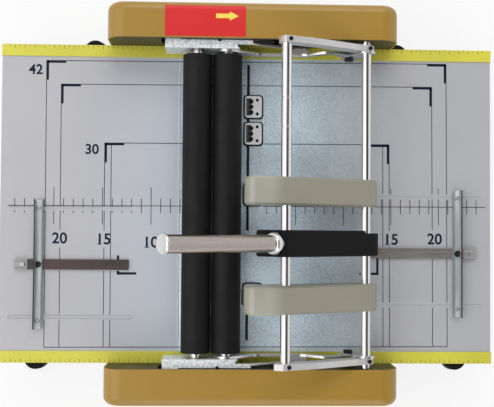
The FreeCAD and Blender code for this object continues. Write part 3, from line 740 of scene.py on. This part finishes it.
@dataclass
class PrintedTable(SubAssembly):
    """The table with its printed frames, centimetre scale and yellow rulers.

    The print sits a little turned and a little small on the sheet, as it does in the photograph.

    Attributes:
        top: Height of the table's face, in metres.
        ink: Thickness of a printed line, in metres.
        hairline_mm: Width of the thin lines.
        tick_mm: Width of the scale's ticks.
        mark_mm: Width of the thick corner marks.
        mark_leg_mm: Length of a corner mark's legs.
        front_mm: Front ends of the frames.
        frames_mm: Half width and back edge of each frame.
        inner_mm: Half width of the fourth frame, which has no corner marks.
        scale_mm: Height of the scale's line above the middle, and its ends.
        step_mm: Distance between ticks.
        reach_mm: Half length of a tick, and of every fifth tick.
        turn_deg: Turn of the print on the sheet.
        foot_mm: How far the foot of a 1 reaches to each side, and its height.
        channels_mm: Left end, right end and middle line of each pressed channel that has room for a rim.
        rim_mm: Half width and height of each ring around a channel, from the outside to its floor.
        small_marks_mm: X of each small corner mark, and the side that its level leg points to.
        small_mark_mm: Front and back end of a small mark's upright leg, its level leg's middle and end.
        ruler_tick_mm: Lengths of a centimetre and a half-centimetre tick, their step, inset and half width.
        numbers: Each number with its centre and height.
        bare: Places that take no print.
    """

    top: float = 0.060
    ink: float = 0.00005
    hairline_mm: float = 0.8
    tick_mm: float = 0.8
    mark_mm: float = 2.4
    mark_leg_mm: float = 20.0
    front_mm: float = -146.6
    frames_mm: tuple[tuple[float, float], ...] = ((207.3, 147.4), (192.1, 123.1), (147.2, 62.6))
    inner_mm: float = 140.5
    scale_mm: tuple[float, float, float] = (-2.1, -245.0, 248.0)
    step_mm: float = 9.93
    reach_mm: tuple[float, float] = (7.5, 19.0)
    turn_deg: float = 0.25
    foot_mm: tuple[float, float] = (1.2, 0.8)
    channels_mm: tuple[tuple[float, float, float], ...] = (
        (-243.4, -118.6, -116.5),
        (118.6, 243.4, 9.0),
        (118.6, 243.4, -103.0),
    )
    rim_mm: tuple[tuple[float, float], ...] = (
        (2.95, -0.65),
        (2.9, -0.2),
        (2.5, 0.03),
        (2.1, 0.28),
        (1.75, 0.38),
        (1.4, 0.1),
        (1.2, -0.57),
    )
    small_marks_mm: tuple[tuple[float, int], ...] = ((-132.7, 1), (134.7, -1))
    small_mark_mm: tuple[float, float, float, float] = (-72.6, -53.0, -71.4, 18.8)
    ruler_tick_mm: tuple[float, float, float, float, float] = (3.4, 1.8, 5.0, 0.6, 0.22)
    numbers: tuple[tuple[str, float, float, float], ...] = (
        ("20", -192.3, -36.1, 11.5),
        ("15", -147.5, -36.8, 11.5),
        ("10", -99.3, -39.6, 11.5),
        ("15", 149.2, -35.2, 11.5),
        ("20", 194.7, -34.4, 11.5),
        ("42", -218.8, 137.4, 10.5),
        ("30", -160.5, 55.5, 10.5),
    )
    bare: tuple[Bare, ...] = (
        Bare(-240.0, -110.0, -7.0, -2.9),
        Bare(-240.0, -110.0, -118.6, -114.5),
        Bare(-240.0, -120.0, -68.6, -57.4),
        Bare(-197.0, -187.0, -45.0, -27.0),
        Bare(-152.0, -143.6, -45.0, -27.0),
        Bare(134.0, 244.0, 6.9, 11.0),
        Bare(134.0, 244.0, -105.1, -101.0),
        Bare(120.0, 240.0, -55.1, -43.9),
        Bare(145.0, 153.0, -43.0, -27.0),
        Bare(188.0, 201.0, -43.0, -26.0),
        Bare(-6.0, 16.0, -106.0, 114.0),
        Bare(-2.2, 2.2, -143.0, 143.0),
    )

    def dress(self) -> None:
        """Gives the table's sheets, rulers, pan and feet their finishes."""
        dress(TABLE_PAINT, "left_table")
        dress(RIGHT_SHEET, "right_table")
        dress(RULER_YELLOW, "ruler_front", "ruler_back")
        dress(PAN_GREY, "base_pan")
        dress(FOOT_RUBBER, "feet")

    def build(self) -> None:
        """Builds the print as thin pieces on the table."""
        self._frames()
        self._scale()
        self._corner_marks()
        for place, (value, x, y, height) in enumerate(self.numbers):
            self._number(f"number_{place}_{value}", value, x, y, height)
        self._ruler_ticks()
        for place, (left, right, middle) in enumerate(self.channels_mm):
            self._channel_rim(f"channel_rim_{place}", left, right, middle)

    def _channel_rim(self, name: str, left: float, right: float, middle: float) -> None:
        """Lines one pressed channel and raises a low, soft rim around it."""
        shape = bmesh.new()
        tilt = Matrix.Rotation(math.pi / ROUND_END_STEPS, 4, "Z")
        (outer, foot), (inner, _) = self.rim_mm[0], self.rim_mm[-1]
        bmesh.ops.create_circle(
            shape, cap_ends=True, segments=ROUND_END_STEPS, radius=outer * MM, matrix=tilt
        )
        for vertex in shape.verts:
            end = right - inner if vertex.co.x > 0 else left + inner
            vertex.co += Vector((end * MM, middle * MM, self.top + foot * MM))
        floor = shape.faces[:]
        rim = shape.edges[:]
        for (reach, height), (next_reach, next_height) in zip(self.rim_mm, self.rim_mm[1:]):
            step = (reach - next_reach) * MM
            bmesh.ops.inset_region(
                shape, faces=floor, thickness=step, use_even_offset=True, use_boundary=True
            )
            bmesh.ops.translate(shape, verts=floor[0].verts, vec=(0.0, 0.0, (next_height - height) * MM))
        bmesh.ops.edgeloop_fill(shape, edges=rim)
        finish = TABLE_PAINT if left < 0 else RIGHT_SHEET
        finished(name, shape, finish, "base", True)

    def _stroke(self, shape: bmesh.types.BMesh, x0: float, x1: float, y0: float, y1: float) -> None:
        """Adds a printed block between two corners in millimetres."""
        low = Vector((x0 * MM, y0 * MM, self.top))
        add_block(shape, low, Vector((x1 * MM, y1 * MM, self.top + self.ink)))

    def _upright(self, shape: bmesh.types.BMesh, x: float, y0: float, y1: float, width: float) -> None:
        """Adds a line along Y, broken where the table is bare."""
        gaps = [(place.front, place.back) for place in self.bare if place.left < x < place.right]
        for low, high in runs_between(y0, y1, gaps):
            self._stroke(shape, x - width / 2, x + width / 2, low, high)

    def _level(self, shape: bmesh.types.BMesh, y: float, x0: float, x1: float, width: float) -> None:
        """Adds a line along X, broken where the table is bare."""
        gaps = [(place.left, place.right) for place in self.bare if place.front < y < place.back]
        for low, high in runs_between(x0, x1, gaps):
            self._stroke(shape, low, high, y - width / 2, y + width / 2)

    def _printed(self, name: str, shape: bmesh.types.BMesh, finish: Finish) -> None:
        """Turns a printed shape as the print sits and finishes it."""
        turn = Matrix.Rotation(math.radians(self.turn_deg), 3, "Z")
        bmesh.ops.rotate(shape, verts=shape.verts, cent=(0.0, 0.0, 0.0), matrix=turn)
        finished(name, shape, finish, "base")

    def _frames(self) -> None:
        """Thin frames of the paper sizes."""
        shape = bmesh.new()
        for half, back in self.frames_mm:
            for x in (-half, half):
                self._upright(shape, x, self.front_mm, back, self.hairline_mm)
            self._level(shape, back, -half, half, self.hairline_mm)
        for x in (-self.inner_mm, self.inner_mm):
            self._upright(shape, x, self.front_mm, self.frames_mm[-1][1], self.hairline_mm)
        outer = self.frames_mm[0][0]
        self._level(shape, self.front_mm, -outer, outer, self.hairline_mm)
        self._printed("table_frames", shape, PRINT_LINE)

    def _scale(self) -> None:
        """Centimetre scale across the table."""
        height, left, right = self.scale_mm
        shape = bmesh.new()
        self._level(shape, height, left, right, self.hairline_mm)
        steps = int(right / self.step_mm)
        for step in range(-steps, steps + 1):
            reach = self.reach_mm[1] if step % 5 == 0 else self.reach_mm[0]
            self._upright(shape, step * self.step_mm, height - reach, height + reach, self.tick_mm)
        self._printed("table_scale", shape, PRINT_LINE)

    def _corner_marks(self) -> None:
        """Thick marks at the back corners of each frame, and the small ones near the stops."""
        shape = bmesh.new()
        leg, half_mark = self.mark_leg_mm, self.mark_mm / 2
        for half, back in self.frames_mm:
            for sign in (-1, 1):
                x = sign * (half - half_mark)
                self._upright(shape, x, back - leg, back, self.mark_mm)
                x0, x1 = sorted((sign * half, sign * (half - leg)))
                self._level(shape, back - half_mark, x0, x1, self.mark_mm)
        front, back, middle, end = self.small_mark_mm
        for x, side in self.small_marks_mm:
            self._upright(shape, x, front, back, self.mark_mm)
            x0, x1 = sorted((x - side * half_mark, x + side * end))
            self._level(shape, middle, x0, x1, self.mark_mm)
        self._printed("table_corner_marks", shape, PRINT_NAVY)

    def _number(self, name: str, value: str, x: float, y: float, height: float) -> None:
        """Prints one number, with a foot under a 1 that starts it, centred on a point in millimetres."""
        curve = bpy.data.curves.new(name, "FONT")
        curve.body = value
        curve.size = height * TYPE_SIZE * MM
        curve.align_x = "CENTER"
        curve.align_y = "CENTER"
        curve.offset = TYPE_WEIGHT
        curve.extrude = self.ink / 2
        letters = bpy.data.objects.new(name + "_curve", curve)
        bpy.context.scene.collection.objects.link(letters)
        mesh = bpy.data.meshes.new_from_object(letters)
        bpy.data.objects.remove(letters)
        shape = bmesh.new()
        shape.from_mesh(mesh)
        bpy.data.meshes.remove(mesh)
        low = min(vertex.co.y for vertex in shape.verts)
        high = max(vertex.co.y for vertex in shape.verts)
        if value.startswith("1"):
            self._add_foot(shape, low)
        middle = Vector((0.0, -(low + high) / 2, self.top + self.ink / 2)) + Vector((x * MM, y * MM, 0.0))
        bmesh.ops.translate(shape, verts=shape.verts, vec=middle)
        finished(name, shape, PRINT_NAVY, "base")

    def _add_foot(self, shape: bmesh.types.BMesh, low: float) -> None:
        """Adds a short bar under the 1 that a number starts with."""
        left = min(vertex.co.x for vertex in shape.verts)
        lowest = [vertex.co.x for vertex in shape.verts if vertex.co.y < low + 0.5 * MM]
        stem = [x for x in lowest if x < left + 4 * MM]
        reach, rise, half_ink = self.foot_mm[0] * MM, self.foot_mm[1] * MM, self.ink / 2
        add_block(
            shape,
            Vector((min(stem) - reach, low, -half_ink)),
            Vector((max(stem) + reach, low + rise, half_ink)),
        )

    def _ruler_ticks(self) -> None:
        """Centimetre and half-centimetre ticks at the rulers' outer edges."""
        whole, part, step, inset, half_width = (length * MM for length in self.ruler_tick_mm)
        _, edge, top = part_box("ruler_back")[1]
        shape = bmesh.new()
        for sign in (-1, 1):
            for place in range(-49, 50):
                length = whole if place % 2 == 0 else part
                y0, y1 = sorted((sign * (edge - inset), sign * (edge - inset - length)))
                corner = Vector((place * step - half_width, y0, top))
                add_block(shape, corner, Vector((place * step + half_width, y1, top + self.ink)))
        finished("ruler_ticks", shape, PRINT_LINE, "base")


@dataclass
class Casings(SubAssembly):
    """The gold end casings and the bare red sticker with its arrow.

    Attributes:
        sticker_mm: Left, right, front and back edge of the sticker.
        arrow_mm: Tail, head and middle line of the arrow, and half its width.
        edge_mm: Start of the casing's rounded edge along Y, and its radius.
        sheet: Thickness of the sticker, in metres.
    """

    sticker_mm: tuple[float, float, float, float] = (-84.4, -4.4, 164.5, 195.4)
    arrow_mm: tuple[float, float, float, float] = (-34.1, -11.4, 184.9, 4.6)
    edge_mm: tuple[float, float] = (191.0, 9.0)
    sheet: float = 0.00008

    def dress(self) -> None:
        """Gives the casings and what is inside them their finishes."""
        dress(CASING_GOLD, "casing_front", "casing_back")
        dress(PLATE_OLIVE, "side_plate_front", "side_plate_back")
        dress(DARK_STEEL, "fixed_rack_front", "fixed_rack_back", "slide_rail_front", "slide_rail_back")

    def build(self) -> None:
        """Sticks the label on the back casing."""
        left, right, front, back = (edge * MM for edge in self.sticker_mm)
        shape = bmesh.new()
        middle = Matrix.Translation(((left + right) / 2, (front + back) / 2, 0.0))
        size = Matrix.Diagonal((right - left, back - front, 1.0, 1.0))
        bmesh.ops.create_grid(shape, x_segments=1, y_segments=24, size=0.5, matrix=middle @ size)
        self._lay(shape, self.sheet)
        finished("sticker", shape, STICKER_RED, "base", True)
        self._arrow()

    def _arrow(self) -> None:
        """Cuts the arrow from one outline and lays it on the sticker."""
        tail, head, middle, half = (edge * MM for edge in self.arrow_mm)
        neck = head - 2 * half
        outline = [(tail, -half / 2), (neck, -half / 2), (neck, -half), (head, 0.0)]
        outline += [(neck, half), (neck, half / 2), (tail, half / 2)]
        shape = bmesh.new()
        shape.faces.new([shape.verts.new((x, middle + y, 0.0)) for x, y in outline])
        self._lay(shape, self.sheet * 2)
        finished("sticker_arrow", shape, STICKER_YELLOW, "base")

    def _lay(self, shape: bmesh.types.BMesh, above: float) -> None:
        """Lays a flat shape on the casing's top, round its edge, and gives it its thickness."""
        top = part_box("casing_back")[1][2]
        start, radius = (length * MM for length in self.edge_mm)
        for vertex in shape.verts:
            over = max(0.0, vertex.co.y - start)
            vertex.co.z = top - radius + math.sqrt(radius**2 - over**2) + above
        bmesh.ops.recalc_face_normals(shape, faces=shape.faces)
        bmesh.ops.solidify(shape, geom=shape.faces, thickness=self.sheet / 2)


@dataclass
class FoldUnit(SubAssembly):
    """Rollers, brackets, links, blade and clinch plates."""

    def dress(self) -> None:
        """Gives the fold unit's nodes their finishes."""
        dress(ZINC, "bracket_front", "bracket_back")
        dress(LINK_STEEL, "side_link_front", "side_link_back", "outer_link_front", "outer_link_back")
        dress(LINK_STEEL, "pivot_ears")
        dress(DARK_SCREW, "link_bolts")
        dress(DARK_STEEL, "slider_plate_front", "slider_plate_back", "blade_carrier")
        dress(BUSH_BRASS, "roller_bushes")
        dress(SHAFT_STEEL, "roller_shaft_left", "roller_shaft_right")
        dress(ROLLER_RUBBER, "roller_rubber_left", "roller_rubber_right")
        dress(GEAR_PLASTIC, "roller_gear_left", "roller_gear_right", "roller_pinions")
        dress(BLADE_STEEL, "fold_blade")
        dress(GUIDE_PLASTIC, "blade_guides")
        dress(CLINCH_STEEL, "anvil_back_outer", "anvil_back_inner", "anvil_middle", "anvil_front")
        dress(DARK_SCREW, "anvil_screws")


@dataclass
class PaperStops(SubAssembly):
    """The two fences that slide along rails on the table.

    Attributes:
        wall_mm: Thickness of a fence's upright wall.
        flange_mm: Heights of the flange's underside and top over the bar's feet.
        strap_mm: Half length of the strap over the rail, its rise over the flange and its edge radius.
        fold_mm: Radius of its edges.
        hem_mm: Width and height of the hem along its inner edge.
        rivet_mm: How far the rivets sit from the fence's middle, their radius and their height.
        end_mm: Inner and outer end of the block that closes a rail, and its half width.
        end_top_mm: Height of that block, and the radius of its edges.
        screw_mm: Place of the screw on that block, its radius and its height.
    """

    wall_mm: float = 1.3
    flange_mm: tuple[float, float] = (2.6, 3.9)
    strap_mm: tuple[float, float, float] = (6.8, 0.2, 0.2)
    fold_mm: float = 0.3
    hem_mm: tuple[float, float] = (1.5, 0.7)
    rivet_mm: tuple[float, float, float] = (58.0, 1.9, 1.4)
    end_mm: tuple[float, float, float] = (224.5, 237.0, 5.2)
    end_top_mm: tuple[float, float] = (3.4, 0.3)
    screw_mm: tuple[float, float, float] = (228.5, 2.6, 1.6)

    def dress(self) -> None:
        """Gives the stops their finishes."""
        for side in ("left", "right"):
            dress(RAIL_STEEL, f"stop_rail_{side}")
            dress(DARK_SCREW, f"stop_screw_{side}")

    def build(self) -> None:
        """Builds both fences and the ends of their rails."""
        for side, sign in (("left", -1), ("right", 1)):
            dress(STOP_STEEL, f"stop_bar_{side}")
            self._fence(side, sign)
            self._rail_end(side, sign)

    def _fence(self, side: str, sign: int) -> None:
        """Angle-section fence with its wall outside, a strap over the rail and a rivet at each end."""
        low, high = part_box(f"stop_bar_{side}")
        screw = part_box(f"stop_screw_{side}")
        middle = (screw[0][1] + screw[1][1]) / 2
        base, tread = (low[2] + height * MM for height in self.flange_mm)
        inner, outer = (low[0], high[0]) if sign > 0 else (high[0], low[0])
        wall = outer - sign * self.wall_mm * MM
        hem, lip = inner + sign * self.hem_mm[0] * MM, tread + self.hem_mm[1] * MM
        outline = [(inner, base), (outer, base), (outer, high[2]), (wall, high[2])]
        outline += [(wall, tread), (hem, tread), (hem, lip), (inner, lip)]
        shape = bmesh.new()
        face = shape.faces.new([shape.verts.new((x, low[1], z)) for x, z in outline])
        drawn = bmesh.ops.extrude_face_region(shape, geom=[face])["geom"]
        moved = [part for part in drawn if isinstance(part, bmesh.types.BMVert)]
        bmesh.ops.translate(shape, verts=moved, vec=(0.0, high[1] - low[1], 0.0))
        bmesh.ops.recalc_face_normals(shape, faces=shape.faces)
        soften(shape, self.fold_mm * MM)
        strap = bmesh.new()
        half, rise, corner = (length * MM for length in self.strap_mm)
        x0, x1 = sorted((hem, wall))
        add_block(strap, Vector((x0, middle - half, base)), Vector((x1, middle + half, tread + rise)))
        soften(strap, corner)
        finished(f"stop_strap_{side}", strap, STOP_STEEL, f"stop_{side}")
        fence = finished(f"stop_fence_{side}", shape, STOP_STEEL, f"stop_{side}", True)
        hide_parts(f"stop_bar_{side}")
        away, radius, height = (length * MM for length in self.rivet_mm)
        for end, place in (("front", -away), ("back", away)):
            root = Vector(((hem + wall) / 2, (low[1] + high[1]) / 2 + place, tread))
            rivet = pan_head(root, radius, height)
            finished(f"stop_rivet_{side}_{end}", rivet, SCREW_STEEL, f"stop_{side}", True)

    def _rail_end(self, side: str, sign: int) -> None:
        """Screw on the rail's outer end, and on the right the block under it, which the left rail has."""
        low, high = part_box(f"stop_rail_{side}")
        middle = (low[1] + high[1]) / 2
        inner, outer, half = (length * MM for length in self.end_mm)
        rise, corner = (length * MM for length in self.end_top_mm)
        if sign > 0:
            shape = bmesh.new()
            top = Vector((outer, middle + half, low[2] + rise))
            add_block(shape, Vector((inner, middle - half, low[2])), top)
            soften(shape, corner)
            finished(f"stop_rail_end_{side}", shape, RAIL_STEEL, "base")
        where, radius, height = (length * MM for length in self.screw_mm)
        head = pan_head(Vector((sign * where, middle, low[2] + rise)), radius, height)
        finished(f"stop_end_screw_{side}", head, SCREW_STEEL, "base", True)


@dataclass
class PressFrame(SubAssembly):
    """Arms, rods, stapler heads and the handle.

    Attributes:
        tube_root: Where the handle's tube leaves the arm, in metres.
        tube_tip: The tube's far end, in metres.
        ring_mm: Start and end of the chrome ring along the tube, its bore and its outer radius.
        cap_mm: Length and radius of the domed end cap.
        short_mm: How far the cap's dome ends before the tube's far end.
        collar_mm: Length of the cap's straight collar on the tube, and the size of its corner.
    """

    tube_root: Vector = Vector((0.028, -0.039, 0.155))
    tube_tip: Vector = Vector((-0.079, -0.039, 0.240))
    ring_mm: tuple[float, float, float, float] = (5.5, 13.0, 8.0, 10.5)
    cap_mm: tuple[float, float] = (1.8, 9.0)
    short_mm: float = 1.5
    collar_mm: tuple[float, float] = (1.6, 0.6)

    def dress(self) -> None:
        """Gives the press frame's nodes their finishes."""
        dress(ARM_METAL, "arm_front", "arm_back")
        dress(DARK_SCREW, "arm_screws")
        dress(ROD_CHROME, "front_rod", "rear_rod")
        dress(LEVER_BLACK, "lever_arm")
        dress(TUBE_SATIN, "lever_tube")
        dress(CAP_CHROME, "lever_caps")
        for place in ("upper", "lower"):
            dress(HEAD_BEIGE, f"head_cover_{place}")
            dress(MAGAZINE_STEEL, f"magazine_{place}")
            dress(GUIDE_PLASTIC, f"pusher_{place}")

    def build(self) -> None:
        """Builds the handle's rolled ring and its domed cap."""
        along = (self.tube_tip - self.tube_root).normalized()
        start, end, bore, outer = (length * MM for length in self.ring_mm)
        middle, reach = (start + end) / 2, (end - start) / 2
        turns = [math.radians(angle) for angle in range(0, 181, 15)]
        rise = outer - bore
        crown = [(middle - reach * math.cos(turn), bore + rise * math.sin(turn) ** 0.6) for turn in turns]
        ring = turned([*crown, crown[0]], self.tube_root, along)
        finished("handle_ring", ring, CAP_CHROME, "press_frame", True)
        length = (self.tube_tip - self.tube_root).length - self.short_mm * MM
        rise, radius = (size * MM for size in self.cap_mm)
        turns = [math.radians(angle) for angle in range(0, 91, 10)]
        drop = length - rise
        dome = [(drop + rise * math.sin(turn), radius * math.cos(turn) ** 0.5) for turn in turns[:-1]]
        lip, corner = drop - self.collar_mm[0] * MM, self.collar_mm[1] * MM
        collar = [(lip, 0.0), (lip, radius - corner), (lip + corner, radius)]
        cap = turned([*collar, *dome, (length, 0.0)], self.tube_root, along)
        shown = finished("handle_cap", cap, CAP_CHROME, "press_frame", True)
        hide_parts("lever_caps")


FULL, DIM, DARK = (1.0, 1.0, 1.0), (0.75, 0.75, 0.75), (0.06, 0.06, 0.06)


@dataclass
class Studio:
    """Camera, lamps, sky and a pale floor.

    Attributes:
        camera_place: The camera's place, in metres.
        camera_turn_deg: Its turn about X, Y and Z.
        lens_mm: Focal length for a sensor 36 mm wide.
        sky: Brightness of the sky at the horizon and overhead.
        floor_reach: Distance from the middle to the floor's edges, in metres.
        floor_colour: Colour of the floor, linear.
        floor_glow: Share of plain white in the floor as the camera, metal and glass see it.
    """

    camera_place: tuple[float, float, float] = (-0.0320, -0.02884, 0.960)
    camera_turn_deg: tuple[float, float, float] = (1.873, -2.015, 0.431)
    lens_mm: float = 63.59
    sky: tuple[float, float] = (0.98, 0.34)
    floor_reach: float = 60.0
    floor_colour: Colour = (0.85, 0.85, 0.85)
    floor_glow: float = 0.8

    def build(self) -> None:
        """Adds the camera, the lamps, the sky and the floor."""
        self._camera()
        self._lamp("lamp_left", (-1.0, -0.15, 1.4), (1.8, 1.5), 11.8)
        self._lamp("lamp_back", (0.2, 1.4, 1.35), (1.5, 1.0), 13.2)
        self._lamp("lamp_front", (0.2, -1.4, 1.0), (1.2, 1.0), 7.0)
        self._world()
        self._floor()
        bpy.context.scene.view_settings.view_transform = "Standard"

    def _camera(self) -> None:
        """Adds the camera and makes it the scene's."""
        data = bpy.data.cameras.new("camera")
        data.sensor_width = 36.0
        data.lens = self.lens_mm
        data.clip_start = 0.01
        camera = bpy.data.objects.new("camera", data)
        camera.location = self.camera_place
        camera.rotation_euler = Euler([math.radians(turn) for turn in self.camera_turn_deg], "XYZ")
        bpy.context.scene.collection.objects.link(camera)
        bpy.context.scene.camera = camera

    def _lamp(
        self, name: str, place: tuple[float, float, float], size: tuple[float, float], power: float
    ) -> None:
        """Adds a soft lamp that faces the table's middle."""
        data = bpy.data.lights.new(name, "AREA")
        data.shape = "RECTANGLE"
        data.size, data.size_y = size
        data.energy = power
        lamp = bpy.data.objects.new(name, data)
        lamp.location = place
        towards = Vector((0.0, 0.0, 0.05)) - Vector(place)
        lamp.rotation_euler = towards.to_track_quat("-Z", "Y").to_euler()
        bpy.context.scene.collection.objects.link(lamp)

    def _world(self) -> None:
        """Sets a pale sky, brightest at the horizon, with a dark strip high on the right for the chrome."""
        world = bpy.data.worlds.new("studio")
        world.use_nodes = True
        tree = NodeTree(world.node_tree)
        background = world.node_tree.nodes["Background"]
        where = world.node_tree.nodes.new("ShaderNodeTexCoord")
        direction = where.outputs["Generated"]
        low, high = self.sky
        tones = [(0.0, (low, low, low)), (0.35, (low, low * 0.99, low * 0.98))]
        tones.append((1.0, (high, high * 0.98, high)))
        sky = tree.ramp(tree.share(tree.component(direction, Axis.Z), 0.0, 1.0), tones)
        depth = tree.share(tree.component(direction, Axis.Y), -1.0, 1.0)
        front = tree.ramp(depth, [(0.0, DIM), (0.6, FULL)])
        gap = [(0.0, FULL), (0.26, FULL), (0.32, DARK), (0.6, DARK), (0.7, FULL), (1.0, FULL)]
        strip = tree.ramp(tree.share(tree.component(direction, Axis.X), 0.0, 1.0), gap)
        overhead = tree.share(tree.component(direction, Axis.Z), 0.35, 0.5)
        strip = tree.mixed(overhead, tree.flat(FULL), strip)
        tree.link(tree.multiplied(tree.multiplied(sky, front), strip), background.inputs["Color"])
        bpy.context.scene.world = world

    def _floor(self) -> None:
        """Lays a pale floor that keeps a soft shadow."""
        shape = bmesh.new()
        bmesh.ops.create_grid(shape, x_segments=1, y_segments=1, size=self.floor_reach)
        mesh = bpy.data.meshes.new("floor")
        shape.to_mesh(mesh)
        shape.free()
        material = bpy.data.materials.new("floor")
        material.use_nodes = True
        nodes = material.node_tree.nodes
        tree = NodeTree(material.node_tree)
        shader = nodes["Principled BSDF"]
        shader.inputs["Base Color"].default_value = (*self.floor_colour, 1.0)
        shader.inputs["Roughness"].default_value = 0.8
        glow = nodes.new("ShaderNodeEmission")
        mix = nodes.new("ShaderNodeMixShader")
        rays = nodes.new("ShaderNodeLightPath")
        seen = nodes.new("ShaderNodeMath")
        seen.operation = "ADD"
        seen.use_clamp = True
        tree.link(rays.outputs["Is Camera Ray"], seen.inputs[0])
        tree.link(rays.outputs["Is Glossy Ray"], seen.inputs[1])
        through = nodes.new("ShaderNodeMath")
        through.operation = "ADD"
        through.use_clamp = True
        tree.link(seen.outputs[0], through.inputs[0])
        tree.link(rays.outputs["Is Transmission Ray"], through.inputs[1])
        share = nodes.new("ShaderNodeMath")
        share.operation = "MULTIPLY"
        share.inputs[1].default_value = self.floor_glow
        tree.link(through.outputs[0], share.inputs[0])
        tree.link(share.outputs[0], mix.inputs[0])
        tree.link(shader.outputs[0], mix.inputs[1])
        tree.link(glow.outputs[0], mix.inputs[2])
        tree.link(mix.outputs[0], nodes["Material Output"].inputs["Surface"])
        mesh.materials.append(material)
        floor = bpy.data.objects.new("floor", mesh)
        bpy.context.scene.collection.objects.link(floor)
        floor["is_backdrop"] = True


def write_sizes() -> None:
    boxes = {"cad": CAD_BOX, "visual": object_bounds()}
    boxes = {name: [list(corner) for corner in box] for name, box in boxes.items()}


def main() -> None:
    """Builds the studio and every sub-assembly."""
    logging.basicConfig(level=logging.INFO, format="%(message)s")
    Studio().build()
    for part in (PrintedTable(), Casings(), FoldUnit(), PaperStops(), PressFrame()):
        part.dress()
        part.build()
        log.info("%s is dressed", type(part).__name__)
    write_sizes()


if __name__ == "__main__":
    main()
